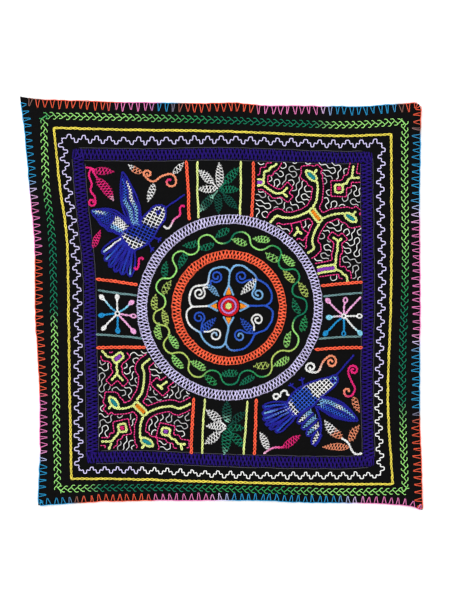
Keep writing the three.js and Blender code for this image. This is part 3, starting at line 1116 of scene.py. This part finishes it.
def makeBulbStars():
    drawing = newDrawing()
    for star in bulbStars:
        middle = star["middle"]
        chain(drawing, circle(middle, 2.6, step=1)[:-1], "white", 2.1, 2.7, closed=True, lift=0.3)
        for angle, long, bulb, tint in star["arms"]:
            stop = long if bulb == "bare" else long - 5
            bend = polar(middle, angle + rng.uniform(-4, 4), stop * 0.55)
            line = [polar(middle, angle, 3.0), bend, polar(middle, angle, stop)]
            chain(drawing, smoothPath(line, 1), tint, 2.4, 3.2)
            if bulb == "bare":
                continue
            tipTint = tint if isinstance(tint, str) else tint[-1][1]
            hub = polar(middle, angle, long - 2.9)
            drop = [polar(hub, angle + turn, away) for turn,
                    away in ((180, 3.6), (260, 2.3), (0, 3.0), (100, 2.3))]
            chain(drawing, smoothPath(drop, 0.8, closed=True), tipTint, 1.9, 2.2, closed=True, lift=0.1)
            if bulb == "bulb":
                chain(drawing, [polar(hub, angle, -1.6), polar(hub, angle, 1.6)], tipTint, 2.4, 3.0, lift=0.3)
    return sew("bulb_stars", drawing)


makeBulbStars()

# two birds on the wing: places are along the body to the head, then to the wing side
birds = [
    {
        "middle": (-89.2, 79),
        "turn": 50,
        "wingSide": 1,
        "outline": [(38.6, -1.6), (34, 7.4), (24, 9.6), (13, 10.4), (4, 11), (-5, 14.5), (-16.5, 17.5),
                    (-20, 7),
                    (-21.5, -4.5), (-7, -12.2), (5, -13), (16, -10.6), (29, -9.4)],
        "lattice": ((3.6, 0.95), (4.2, 0.82)),  # bars, then lengthwise threads: apart, thick
        "latticeTurn": 14,
        "body": stops("white", -11, -8, "ultramarine", 10, 15, "white", low=-20, high=40),
        "eye": (29.5, 0.6),
        "beak": [(38.6, -2), (52, -5.6), (64, -9)],
        "feet": [((4.5, -13.5), (6.8, -19)), ((-4, -13), (-7, -19.5))],
        # roots and ends of the tail feathers, from the wing side across
        "tail": ((13.5, -4), (20, -21.5)),
        "feathers": [stops("white", 0.7, 1, "lightBlue"),
                     stops("ultramarine", 0, 0.75, "cobalt", 0.75, 1, "lightBlue"),
                     "ultramarine", "royal", "ultramarine",
                     stops("royal", 0, 0.6, "ultramarine", 0.6, 1, "lightBlue")],
        "wings": [
            {"root": (1.5, 8), "tip": (39, 61), "width": 19, "bow": 1, "full": 0.45, "scallops": 0,
             "sway": 0.13, "bars": [], "rows": [
                (0.74, 2.2, "royal"), (-0.74, 2.2, "royal"),
                (-0.04, 2.2, stops("lightBlue", 0, 0.12, "royal")),
                (0.36, 4.8, stops("lightBlue", 0.5, 0.62, "cobalt")),
                (-0.4, 4.4, stops("lightBlue", 0.42, 0.55, "white", 0.9, 1, "royal"))]},
            {"root": (-9, 16), "tip": (-17.5, 60), "width": 24, "bow": -1.5, "full": 0.6, "scallops": 4,
             "sway": 0, "bars": [0.41], "rows": [
                (-0.76, 2.2, "royal"), (0.82, 2.2, "royal"),
                (-0.4, 5.4, stops("white", 0.38, 0.4, "royal", 0.4, 0.6, "ultramarine", 0.6, 0.7, "royal",
                                  0.7, 0.78, "lightBlue", 0.78, 0.9, "white")),
                (0.02, 5.2, stops("white", 0.37, 0.39, "royal", 0.39, 0.6, "ultramarine", 0.6, 0.8, "royal",
                                  0.8, 0.9, "lightBlue")),
                (0.45, 5.2, stops("lightBlue", 0.37, 0.4, "royal", 0.4, 0.7, "ultramarine", 0.7, 1,
                                  "royal"))]},
        ],
        "slats": [],
    },
    {
        "middle": (94.2, -106.6),
        "turn": 28,
        "wingSide": -1,
        "outline": [(43.3, -6), (41, 0.5), (32.5, 4.6), (20.5, 6.4), (12.5, 9), (3, 12), (-9.5, 12),
                    (-18.5, 13.5),
                    (-23.5, 10.5), (-22, 3), (-20.5, -4.5), (-8.5, -11.6), (9.8, -13), (22, -11), (33, -8.3)],
        "lattice": ((3.5, 1.0), (3.5, 0.92)),
        "latticeTurn": 17,
        "body": stops("white", -17, -14, "cobalt", 8, 11, "white", 32, 36, "lightBlue", low=-22, high=46),
        "eye": (36.5, -2.4),
        "beak": [(43.6, -6.4), (57, -11.6), (71, -17.4)],
        "feet": [((4.5, -13.5), (6.8, -19)), ((-4, -13), (-7, -19.5))],
        "tail": ((10.5, -3.5), (18.5, -13.5)),
        "feathers": ["cobalt", "royal", stops("lightBlue", 0, 0.5, "cobalt", 0.5, 1, "royal"),
                     stops("white", 0, 0.3, "lightBlue", 0.3, 1, "cobalt"), "lightBlue", "cobalt"],
        "wings": [
            {"root": (12, 10.5), "tip": (41, 51), "width": 19, "bow": -1, "full": 0.62, "scallops": 0,
             "sway": 0, "bars": [], "rows": [
                (-0.76, 2.2, "royal"), (0.8, 2.2, "royal"), (0.0, 2.2, stops("lightBlue", 0, 0.1, "royal")),
                (-0.38, 5.0, stops("lightBlue", 0.36, 0.5, "white", 0.5, 0.66, "lightBlue")),
                (0.42, 5.2, stops("lightBlue", 0, 0.12, "cobalt", 0.7, 1, "ultramarine"))]},
        ],
        # barred wing: each bar runs back from the leading edge
        "slats": [((0, 15.5), (-20.5, 21), stops("lightBlue", 0.35, 0.55, "white")),
                  ((1, 24), (-19.5, 29), "lightBlue"),
                  ((-0.5, 33), (-18.5, 38), stops("white", 0.3, 0.5, "lightBlue")),
                  ((-5, 42), (-17, 50), "white")],
    },
]
birdWork = {
    "eye": {"radius": 2.0, "yarn": 1.35, "open": 2.0},
    "toes": ((-3.4, -2), (0.4, -3.8), (3.4, -1.6)),
    "leadingEdge": [(6, 13), (5, 24), (1.5, 35), (-5, 45), (-16, 53)],  # of the barred wing
    "tailRoot": (-18, -3),  # on the wing side, and how far it shifts across the tail
    "tailEnd": (-47, -7),  # at the sides, and how far the middle stands out
    "tailWidth": 8.4,
    "slatWidth": 8.2,
    "lace": (0.74, 3.3),  # yarn and pitch of the filled rows
    "net": {"probe": 0.5, "stitch": 8, "least": 5},  # step of the search, longest stitch, fewest steps
}


def inside(outline, p):
    hit = False
    for a, b in zip(outline, np.roll(outline, -1, axis=0)):
        if (a[1] > p[1]) != (b[1] > p[1]) and p[0] < a[0] + (p[1] - a[1]) / (b[1] - a[1]) * (b[0] - a[0]):
            hit = not hit
    return hit


def feathering(drawing, place, root, tip, width, rows, bow=0.0, full=0.4, taper=1.8, scallops=0, sway=0.0,
               reach=0.92,
               bars=()):
    # chain rows from root to tip inside a royal outline: a wing, or one feather of the tail
    root, tip = np.array(root, float), np.array(tip, float)
    run = tip - root
    across = np.array([-run[1], run[0]]) / math.hypot(*run)

    def spot(along, share):
        rise = full + (1 - full) * math.sin(math.pi / 2 * min(along / 0.4, 1))
        half = width / 2 * rise * (1 - max(0, (along - 0.4) / 0.6) ** taper)
        if share > 0 and scallops:
            half *= 0.82 + 0.18 * abs(math.sin(math.pi * scallops * along))
        return place(*(root + run * along + across * (bow * math.sin(math.pi * along) + half * share)))

    steps = np.linspace(0, 1, 25)
    outline = [spot(t, 1) for t in steps] + [spot(t, -1) for t in steps[-2::-1]]
    chain(drawing, smoothPath(outline, 1), "royal", 2.4, 3.2, lift=0.1)
    for along in bars:
        bar = [spot(along, share) for share in (-0.85, 0, 0.85)]
        chain(drawing, smoothPath(bar, 1), "royal", 2.2, 3.0, lift=0.7)
    yarn, pitch = birdWork["lace"]
    for share, wide, tint in rows:
        steps = np.linspace(0.05, reach - 0.2 * abs(share), 13)
        row = smoothPath([spot(t, share + sway * math.sin(5 * math.pi * t)) for t in steps], 1)
        if wide < 2.5:
            chain(drawing, row, tint, wide, 3.0)
        else:
            draw(drawing, "laced", row, tint, yarn, lambda t: wide * (1 - 0.6 * t ** 4), pitch)


def trellis(drawing, middle, outline, heading, lattice, tint, eye):
    # crossing threads over the body, coloured from rump to head and left open at the eye
    axes = np.array([polar((0, 0), heading, 1), polar((0, 0), heading + 90, 1)])
    shape = (outline - middle) @ axes.T
    low, high = shape.min(0), shape.max(0)
    net = birdWork["net"]
    for k, (step, thick) in enumerate(lattice):
        for level in np.arange(low[k] + step * 0.6, high[k], step):
            along = np.arange(low[1 - k], high[1 - k], net["probe"])
            spots = np.stack([np.full(len(along), level), along][::1 - 2 * k], 1)
            lines = spots @ axes + middle
            shown = [inside(shape, p) and math.dist(q, eye) > birdWork["eye"]["open"] for p,
                     q in zip(spots, lines)]
            cuts = np.flatnonzero(np.diff(shown)) + 1
            for run, places, kept in zip(np.split(lines, cuts), np.split(spots, cuts), np.split(shown, cuts)):
                if len(run) < net["least"] or not kept[0]:
                    continue
                pieces = max(1, round(len(run) * net["probe"] / net["stitch"]))
                ends = [round(i * (len(run) - 1) / pieces) for i in range(pieces + 1)]
                for a, b in zip(ends, ends[1:]):
                    near = tintAt(tint, (places[a][0] + places[b][0]) / 2)
                    draw(drawing, "straight", [run[a], run[b]], near, thick, lift=0.25 * k)


def makeBird(drawing, bird):
    turn = math.radians(bird["turn"])
    ahead = np.array([math.cos(turn), math.sin(turn)])
    aside = np.array([-math.sin(turn), math.cos(turn)]) * bird["wingSide"]

    def place(u, v):
        return np.array(bird["middle"]) + ahead * u + aside * v

    outline = np.array([place(*p) for p in smoothPath(bird["outline"], 1.2, closed=True)])
    eye = place(*bird["eye"])
    heading = bird["turn"] + bird["latticeTurn"]
    trellis(drawing, np.array(bird["middle"]), outline, heading, bird["lattice"], bird["body"], eye)
    chain(drawing, outline, "royal", 2.6, 3.2, closed=True, lift=0.2)
    ring = circle(eye, birdWork["eye"]["radius"], step=0.8)[:-1]
    draw(drawing, "laid", ring, "royal", birdWork["eye"]["yarn"], lift=0.7, closed=True)
    chain(drawing, smoothPath([place(*p) for p in bird["beak"]], 1), "royal", 2.2, 3.2)
    for start, end in bird["feet"]:
        leg = np.array(end, float)
        chain(drawing, smoothPath([place(*start), place(*leg)], 1), "royal", 1.9, 2.8)
        for toe in birdWork["toes"]:
            draw(drawing, "straight", [place(*leg), place(*(leg + toe))], "royal", 1.4)
    roots, ends = bird["tail"]
    (rootAt, rootShift), (endAt, endOut) = birdWork["tailRoot"], birdWork["tailEnd"]
    for t, tint in zip(np.linspace(0, 1, len(bird["feathers"])), bird["feathers"]):
        root = (rootAt + rootShift * t, roots[0] + (roots[1] - roots[0]) * t)
        end = (endAt + endOut * (1 - (2 * t - 1) ** 2), ends[0] + (ends[1] - ends[0]) * t)
        feathering(drawing, place, root, end, birdWork["tailWidth"], [(0, 2.3, tint)], taper=5)
    for start, end, tint in bird["slats"]:
        feathering(drawing, place, start, end, birdWork["slatWidth"], [(0, 4.8, tint)], full=0.85, taper=5,
                   reach=0.8)
    if bird["slats"]:
        chain(drawing, smoothPath([place(*p) for p in birdWork["leadingEdge"]], 1), "royal", 2.8, 3.4,
              lift=0.2)
    for wing in bird["wings"]:
        feathering(drawing, place, wing["root"], wing["tip"], wing["width"], wing["rows"], wing["bow"],
                   wing["full"],
                   scallops=wing["scallops"], sway=wing["sway"], bars=wing["bars"])


def makeBirds():
    drawing = newDrawing()
    for bird in birds:
        makeBird(drawing, bird)
    return sew("birds", drawing, **{"Lace Slant": 0.9, "Lace Lean": 0.0})


makeBirds()

# small sprigs about the birds: stems as points, leaves as base, tip, width, yarn
sprigs = {
    "stems": [
        ([(-152.6, 152.4), (-145.9, 151.6), (-143, 149.8)], "magenta"),
        ([(-145.9, 151.6), (-142.5, 145.5), (-139.4, 140.9)], "magenta"),
        ([(-146.4, 150.5), (-149, 144.5), (-145.6, 133.5), (-147, 126.5), (-141.6, 119.6), (-141.9, 116.7)],
         "magenta"),
        ([(-40.9, 107.8), (-43.6, 110.4), (-46.6, 106.6), (-46.4, 99.2), (-53.4, 94), (-57, 86.2),
          (-61, 83.6), (-64.4, 86.6)],
         stops("magenta", 0.35, 0.6, "pink", 0.6, 0.8, "white")),
        ([(-88.8, 48.8), (-87.4, 50.4), (-89.6, 52), (-92.8, 49.4), (-92.6, 44), (-93.8, 39.2),
          (-96.4, 37.4), (-98.2, 39.6),
          (-96.4, 41)], "magenta"),
        ([(47.6, -169.1), (58.2, -162.6), (69.5, -161.7)],
         stops("palePink", 0, 0.5, "pink", 0.5, 1, "magenta")),
        ([(158.1, -168.6), (150.5, -169.8), (145.6, -162.8), (141.5, -155.6), (135.2, -151.9)], "white"),
        ([(66, -105.8), (66.8, -101), (70, -97.8), (74, -99.6), (73.6, -104.2), (76.6, -103)], "white"),
    ],
    "leaves": [
        ((-143, 149.8), (-121.8, 148.4), 9, "magenta"),
        ((-139.4, 140.9), (-121.2, 115.5), 11, stops("magenta", 0.75, 1, "palePink")),
        ((-89.6, 146.4), (-104.2, 155.3), 7.4, stops("salmon", 0.5, 0.7, "white")),
        ((-54.5, 146.2), (-42.6, 158), 7, "white"),
        ((-75.6, 134), (-82.1, 115.5), 8.2, "white"),
        ((-144.3, 62.4), (-136.4, 81.3), 7.4, "magenta"),
        ((149.1, -105.2), (155, -121.7), 7.8, "salmon"),
        ((69.5, -161.7), (87.8, -149.1), 9, "magenta"),
        ((52.1, -164.4), (43.6, -146), 8.4, "white"),
        ((135.2, -151.9), (116.7, -132.5), 10.4, stops("salmon", 0.3, 0.45, "white")),
        ((144, -155), (154.4, -138), 9, "salmon"),
        ((143.2, -162.6), (115.1, -162.2), 8.6, "salmon"),
    ],
    # hub, radius, start and sweep of each end, then the stretch between
    "scrolls": [
        (((-82.6, 145.2), 5.4, 230, -470), [(-76.6, 136.6), (-68, 142.4)], ((-57.6, 137), 8.2, 90, -430),
         stops("salmon", 0.85, 0.95, "magenta")),
        (((101, -72), 6.2, 235, -470), [(108.6, -77.4), (113, -68.6)], ((123.6, -66), 7.2, 120, -500),
         stops("white", 0.4, 0.55, "salmon")),
        (((148.6, -75), 6.0, 200, -520), [(145, -84.6), (150.2, -95)], ((142.4, -99.2), 7.2, 0, -400),
         stops("magenta", 0.75, 0.9, "salmon")),
    ],
    "curls": [((-145.6, 113.6), 4.8, 40, -430, "magenta"), ((61.8, -105.4), 4.0, 0, 370, "white")],
}


def makeSprigs():
    drawing = newDrawing()
    for points, tint in sprigs["stems"]:
        chain(drawing, smoothPath(points, 1), tint, 2.5, 3.2)
    for base, tip, width, tint in sprigs["leaves"]:
        leaf(drawing, base, tip, width, tint, bend=rng.uniform(-0.05, 0.05))
    for first, between, second, tint in sprigs["scrolls"]:
        (hubA, radiusA, startA, sweepA), (hubB, radiusB, startB, sweepB) = first, second
        headA = spiral(hubA, radiusA, 1.2, startA, sweepA)[::-1]
        headB = spiral(hubB, radiusB, 1.2, startB, sweepB)
        chain(drawing, smoothPath([*headA[::3], *between, *headB[::3]], 1), tint, 2.6, 3.1)
    for hub, radius, start, sweep, tint in sprigs["curls"]:
        chain(drawing, spiral(hub, radius, 2.2, start, sweep), tint, 2.5, 3.0)
    return sew("sprigs", drawing)


makeSprigs()

# branching panels: lime branches about a bar, a dashed line level round them and curls between
panelWork = {
    "branch": (2.8, 3.4),  # width and pitch of the lime chain
    "armGap": 6.1,  # from the arms to the dashed line
    "stepGap": 4.6,  # from the stepped branches and the tiles
    "twigGap": 5.4,  # from the twigs that stand alone
    "dash": 3.0,
    "dashYarn": 1.05,
    "dashTrim": 0.09,  # off each end, as a share
    "dashRoom": 0.3,  # to the limits of the panel
    "dashOverlap": 0.6,  # into the other outline
    "slack": 0.8,  # the dashed line runs straight where it strays by less
    "curlSize": 6.9,
    "curlNeck": 0.25,
    "curlTurn": 24,
    "curlLobes": 0.62,  # share of crossings that are tipped alike
    "curlGap": 1.0,
    "curlYarn": 0.74,
    "curlCells": 40,  # crossings each way, more than a panel needs
    "curlLeast": 6,  # shorter ends are left out, in points
    "curlRoom": 0.5,  # to the limits of the panel
    "bar": (9.5, 3.2),  # half length, half width
    "pod": (8.6, 3.4),
}
# branches are walked by headings and lengths from a first point, about the middle of their panel
panels = {
    "branch_panel_right": {
        "middle": (106.2, 99),
        "limits": (37.8, 157.4, 24.2, 159),
        "turn": 0,
        "seed": 5,
        "barHeading": -51,
        "arms": [
            ((-6, 5.5), (208, 10), (196, 13), (180, 10), (160, 7), (228, 11)),
            ((4, -9.5), (240, 9), (252, 9), (268, 7), (292, 5), (215, 9)),
        ],
        "branches": [
            ((-58.5, 40), (86, 9.4), (2, 6), (80, 4.8), (5, 4.6), (58, 4.4)),
            ((-58.5, 33.5), (-36, 9), (-32, 7), (5, 8), (45, 8)), ((-37, 25), (-40, 7)),
            ((30, 34), (45, 1.5), (8, 4.5), (84, 5.2), (12, 4.6), (82, 14)), ((40.6, 41.8), (2, 9)),
            ((22.5, -55.5), (87, 12), (68, 5), (98, 4), (80, 6), (145, 7)), ((25.5, -29.5), (40, 5)),
            ((22.5, -61.5), (-10, 7), (-75, 4), (-10, 4.5), (-83, 8)),
        ],
        "twigs": [((-20, -18), (105, 5)), ((-20, -18), (230, 7)), ((-20, -18), (325, 5.5))],
        "podArms": [(((-3.5, 8.5), (62, 8), (78, 8), (88, 10), (98, 5)), 138),
                    (((8, -4), (26, 8), (14, 9), (3, 8)), -34)],
        "gates": [((-66, 37), 0, 7.5, "purple"), ((1.5, -62), 9, 21, "purple")],
        "tiles": [((26, 30), (4.3, 4.3), 0, "magenta")],
    },
    "branch_panel_left": {
        "middle": (-90.9, -118.9),
        "limits": (-138.5, -34, -165.8, -52.8),
        "turn": 180,
        "seed": 12,
        "barHeading": -45,
        "arms": [
            ((-6, 5.5), (208, 10), (196, 13), (180, 10), (160, 7), (205, 14)),
            ((4, -9.5), (240, 11), (258, 13), (271, 9), (285, 8), (222, 12)),
        ],
        "branches": [
            ((25, 25.5), (82, 4.8), (18, 5), (84, 4.8), (0, 13)), ((32.5, 38), (68, 8)),
            ((-32.5, 29), (112, 4.6), (168, 6), (106, 5), (180, 9)), ((-45, 39), (104, 7)),
            ((29, -58), (0, 6), (-18, 4.2), (-70, 4), (-38, 4)),
            ((27, -53.5), (107, 4), (63, 4), (125, 4), (78, 4), (45, 9)), ((25.5, -38.5), (132, 9)),
        ],
        "twigs": [((-22, -25), (217, 10)), ((-18.5, -28), (137, 9))],
        "podArms": [(((-3.5, 8.5), (68, 8), (84, 8), (91, 9)), 150), (((8, -4), (20, 8), (6, 9)), -52)],
        "gates": [],
        "tiles": [((20.4, 21.2), (4.4, 4.2), 12, "magenta"), ((-28.4, 25.4), (4.6, 4.0), -12, "purple"),
                  ((25, -57.8), (6.4, 3.6), 38, "purple")],
    },
}


def walk(start, *legs):
    points = [np.array(start, float)]
    for heading, length in legs:
        points.append(polar(points[-1], heading, length))
    return points


def straightPath(points, step=1.0, closed=False):
    ends = [*points, points[0]] if closed else points
    runs = [np.linspace(a, b, max(2, round(math.dist(a, b) / step) + 1))[:-1] for a, b in zip(ends, ends[1:])]
    return np.vstack(runs if closed else [*runs, [points[-1]]])


def bonesAlong(path, gap):
    runs = np.diff(path, axis=0)
    runs = np.vstack([runs, runs[-1:]])
    runs = runs / np.hypot(*runs.T)[:, None]
    return np.column_stack([path, runs, np.full(len(path), gap)])


def away(bones, places):
    # how far every place is outside the bones' outline; round each bone it is a square set along the branch
    best = np.full(len(places), 1e9)
    for chunk in np.array_split(bones, max(1, len(bones) // 60)):
        off = places[:, None] - chunk[None, :, :2]
        along = np.abs(off[..., 0] * chunk[:, 2] + off[..., 1] * chunk[:, 3])
        across = np.abs(off[..., 0] * chunk[:, 3] - off[..., 1] * chunk[:, 2])
        best = np.minimum(best, (np.maximum(along, across) - chunk[:, 4]).min(1))
    return best


def cornersOf(line, slack):
    # the points where a line turns, leaving out what strays from straight by less than the slack
    run = line[-1] - line[0]
    off = line - line[0]
    long = math.hypot(*run)
    aside = np.abs(run[0] * off[:, 1] - run[1] * off[:, 0]) / long if long > 1 else np.hypot(*off.T)
    k = int(aside.argmax())
    if aside[k] < slack:
        return [line[0], line[-1]]
    return cornersOf(line[:k + 1], slack)[:-1] + cornersOf(line[k:], slack)


def levelLines(field, level, xs, ys):
    # lines along which a field on a grid has one value, joined end to end
    joins = {}
    for i in range(len(ys) - 1):
        for j in range(len(xs) - 1):
            ring = [(i, j), (i, j + 1), (i + 1, j + 1), (i + 1, j)]
            cuts = []
            for a, b in zip(ring, ring[1:] + ring[:1]):
                if (field[a] > level) != (field[b] > level):
                    cuts.append(tuple(sorted((a, b))))
            for a, b in zip(cuts[::2], cuts[1::2]):
                joins.setdefault(a, []).append(b)
                joins.setdefault(b, []).append(a)

    def spot(cut):
        (i, j), (k, l) = cut
        t = (level - field[i, j]) / (field[k, l] - field[i, j])
        return (xs[j] + (xs[l] - xs[j]) * t, ys[i] + (ys[k] - ys[i]) * t)

    lines = []
    while joins:
        ends = [cut for cut in joins if len(joins[cut]) == 1]
        cut = min(ends or joins)
        line = [spot(cut)]
        while joins.get(cut):
            after = joins[cut].pop(0)
            if not joins[cut]:
                del joins[cut]
            joins[after].remove(cut)
            if not joins[after]:
                del joins[after]
            line.append(spot(after))
            cut = after
        lines.append(np.array(line))
    return lines


def makePanel(drawing, panel):
    turn = math.radians(panel["turn"])
    spin = np.array([[math.cos(turn), math.sin(turn)], [-math.sin(turn), math.cos(turn)]])
    armGap, stepGap = panelWork["armGap"], panelWork["stepGap"]
    skeleton, twigs = [], []

    def placed(points):
        return np.array(points, float) @ spin + panel["middle"]

    def branch(points, gap, closed=False, bones=skeleton):
        path = placed(points)
        chain(drawing, path, "lime", *panelWork["branch"], closed)
        bones.append(bonesAlong(path, gap))

    def patch(start, end, rows, gap, tint):
        # a filled place: short chain rows side by side
        start, end = np.array(start, float), np.array(end, float)
        aside = leftOf((end - start)[None] / math.dist(start, end))[0]
        for k in range(rows):
            shift = aside * gap * (k - (rows - 1) / 2)
            chain(drawing, placed(straightPath([start + shift, end + shift])), tint, 2.1, 2.6)

    def block(spot, long, half, heading, corner, gap):
        # a closed ring about a place, square with corner 1 and pointed with corner 0
        ahead, aside = polar((0, 0), heading, 1), polar((0, 0), heading + 90, 1)
        ring = [(1, 0), (corner, 1), (-corner, 1), (-1, 0), (-corner, -1), (corner, -1)]
        branch(straightPath([np.array(spot) + ahead * u * long + aside * v * half for u, v in ring],
                            closed=True), gap, True)
        return ahead

    for points in panel["arms"]:
        branch(smoothPath(walk(*points), 1), armGap)
    for points in panel["branches"]:
        branch(straightPath(walk(*points)), stepGap)
    for points in panel["twigs"]:
        branch(straightPath(walk(*points)), panelWork["twigGap"], bones=twigs)
    long, half = panelWork["bar"]
    ahead = block((0, 0), long, half, panel["barHeading"], 0.85, stepGap)
    patch(-ahead * (long - 3), ahead * (long - 3), 2, 2.0, "orange")
    for points, heading in panel["podArms"]:
        arm = walk(*points)
        branch(smoothPath(arm, 1), armGap)
        long, half = panelWork["pod"]
        hub = polar(arm[-1], heading, long)
        ahead = block(hub, long, half, heading, 0.52, armGap - 0.8)
        patch(hub - ahead * (long - 3.6), hub + ahead * (long - 3.6), 2, 1.8, "teal")
        branch(straightPath([polar(hub, 48, half + 0.6), polar(hub, 48, half + 6)]), stepGap)
    for spot, (long, half), heading, tint in panel["tiles"]:
        ahead = block(spot, long, half, heading, 1, stepGap)
        patch(np.array(spot) - ahead * (long - 2.2), np.array(spot) + ahead * (long - 2.2), 2, 1.9, tint)
    for start, heading, long, tint in panel["gates"]:
        end = polar(start, heading, long)
        patch(start, polar(start, heading, long - 1.4), 2, 1.8, tint)
        gap = polar((0, 0), heading + 90, 3.4)
        branch(straightPath([np.array(start) + gap, end + gap, end - gap, np.array(start) - gap]), stepGap)

    left, right, bottom, top = panel["limits"]
    ring = rings["outer_ring"]
    ringEdge = ring["radius"] + ring["wide"][1] / 2
    skeleton, twigs = np.vstack(skeleton), np.vstack(twigs)

    def free(points, gap):
        x, y = points.T
        within = (x > left + gap) & (x < right - gap) & (y > bottom + gap) & (y < top - gap)
        return within & (np.hypot(x - ring["middle"][0], y - ring["middle"][1]) > ringEdge + gap)

    # dashes in straight runs round the branches, and round the twigs by themselves
    xs, ys = np.arange(left, right, 1.0), np.arange(bottom, top, 1.0)
    places = np.stack(np.meshgrid(xs, ys), 2).reshape(-1, 2)
    for bones, others in ((skeleton, twigs), (twigs, skeleton)):
        for line in levelLines(away(bones, places).reshape(len(ys), len(xs)), 0, xs, ys):
            turns = cornersOf(line, panelWork["slack"])
            for a, b in zip(turns, turns[1:]):
                points = np.linspace(a, b, max(1, round(math.dist(a, b) / panelWork["dash"])) + 1)
                clear = free(points, panelWork["dashRoom"]) & (away(others,
                                                                    points) > -panelWork["dashOverlap"])
                for k in range(len(points) - 1):
                    if clear[k] and clear[k + 1]:
                        short = (points[k + 1] - points[k]) * panelWork["dashTrim"]
                        draw(drawing, "straight", [points[k] + short, points[k + 1] - short], "cerise",
                             panelWork["dashYarn"])
    # curls wander where a chequered field, tipped one way or the other at every crossing, is level
    dice = np.random.default_rng(panel["seed"])
    size, cells = panelWork["curlSize"], panelWork["curlCells"]
    axes = np.array([polar((0, 0), panelWork["curlTurn"] + t, 1 / size) for t in (0, 90)])
    u, v = ((places - panel["middle"]) @ axes.T).T
    tips = panelWork["curlNeck"] * np.where(dice.random((cells, cells)) < panelWork["curlLobes"], 1, -1)
    for k in range(3):  # where all four crossings close a ring, one is tipped the other way
        for i in range(cells - 1):
            for j in range(cells - 1):
                around = tips[i:i + 2, j:j + 2]
                if np.all(around * (-1) ** (i + j) < 0):
                    around[dice.integers(2), dice.integers(2)] *= -1
    i, j = np.floor(u).astype(int) + cells // 2, np.floor(v).astype(int) + cells // 2
    near = [t * t * (3 - 2 * t) for t in (u - np.floor(u), v - np.floor(v))]
    tipped = sum(tips[i + a, j + b] * (near[0] if a else 1 - near[0]) * (near[1] if b else 1 - near[1])
                 for a in (0, 1) for b in (0, 1))
    field = np.sin(math.pi * u) * np.sin(math.pi * v) + tipped
    for line in levelLines(field.reshape(len(ys), len(xs)), 0, xs, ys):
        line = smoothPath(line[::2], 0.9)
        room = np.minimum(away(skeleton, line), away(twigs, line))
        kept = free(line, panelWork["curlRoom"]) & (room > panelWork["curlGap"])
        cuts = np.flatnonzero(np.diff(kept)) + 1
        for run, whole in zip(np.split(line, cuts), np.split(kept, cuts)):
            if len(run) > panelWork["curlLeast"] and whole[0]:
                tint = ("white", "white", "grey")[dice.integers(3)]
                draw(drawing, "laid", run, tint, panelWork["curlYarn"], lift=0.3)


for panelName, panel in panels.items():
    panelDrawing = newDrawing()
    makePanel(panelDrawing, panel)
    sew(panelName, panelDrawing)

for piece in yarnPieces:
    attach(piece, "root")
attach(clothPiece, "root")
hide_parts("cloth")
tuple(clothFlat)

# pale floor, even studio light and the camera straight above
studio = {
    "lens": 70,
    "middle": (9.84, -3.66),  # of the picture
    "frameHeight": 689.6,
    "sky": 1.12,
    "key": 14.0,
    "floorReach": 3,  # metres each way
    "floorDrop": 0.0003,
}


def makeStudio():
    floorMesh = bpy.data.meshes.new("floor")
    reach, low = studio["floorReach"], -studio["floorDrop"]
    square = [(-reach, -reach, low), (reach, -reach, low), (reach, reach, low), (-reach, reach, low)]
    floorMesh.from_pydata(square, [], [(0, 1, 2, 3)])
    paper = bpy.data.materials.new("paleFloor")
    paper.use_nodes = True
    shader = paper.node_tree.nodes["Principled BSDF"]
    grain = put(paper.node_tree, "ShaderNodeTexNoise", {"Scale": 40, "Detail": 2})
    ramp = put(paper.node_tree, "ShaderNodeValToRGB", {"Fac": grain.outputs["Fac"]})
    ramp.color_ramp.elements[0].color = (0.93, 0.93, 0.93, 1)
    ramp.color_ramp.elements[1].color = (0.96, 0.96, 0.96, 1)
    paper.node_tree.links.new(ramp.outputs["Color"], shader.inputs["Base Color"])
    shader.inputs["Roughness"].default_value = 0.9
    shader.inputs["Specular IOR Level"].default_value = 0.1
    floorMesh.materials.append(paper)
    floor = bpy.data.objects.new("floor", floorMesh)
    bpy.context.scene.collection.objects.link(floor)

    world = bpy.data.worlds.new("studio")
    world.use_nodes = True
    world.node_tree.nodes["Background"].inputs["Color"].default_value = (1, 1, 1, 1)
    world.node_tree.nodes["Background"].inputs["Strength"].default_value = studio["sky"]
    bpy.context.scene.world = world
    for name, place, size, power in (("key", (-0.7, 0.9, 1.3), 0.9, studio["key"]),
                                     ("fill", (0.9, -0.5, 1.4), 1.2, studio["key"] * 0.35)):
        lamp = bpy.data.lights.new(name, "AREA")
        lamp.size = size
        lamp.energy = power
        lampObject = bpy.data.objects.new(name, lamp)
        lampObject.location = place
        lampObject.rotation_euler = (-Vector(place)).to_track_quat("-Z", "Y").to_euler()
        bpy.context.scene.collection.objects.link(lampObject)

    cameraData = bpy.data.cameras.new("camera")
    cameraData.lens = studio["lens"]
    camera = bpy.data.objects.new("camera", cameraData)
    distance = studio["frameHeight"] * studio["lens"] / cameraData.sensor_width
    x, y = studio["middle"]
    camera.location = (x * mm, y * mm, (distance + cloth["thickness"]) * mm)
    bpy.context.scene.collection.objects.link(camera)
    bpy.context.scene.camera = camera
    bpy.context.scene.view_settings.view_transform = "Standard"
    bpy.context.scene.view_settings.look = "None"


makeStudio()
total = sum(len(p.data.loop_triangles) for p in yarnPieces)
print("scene: finished,", len(yarnPieces), "yarn pieces,", total, "triangles of yarn")
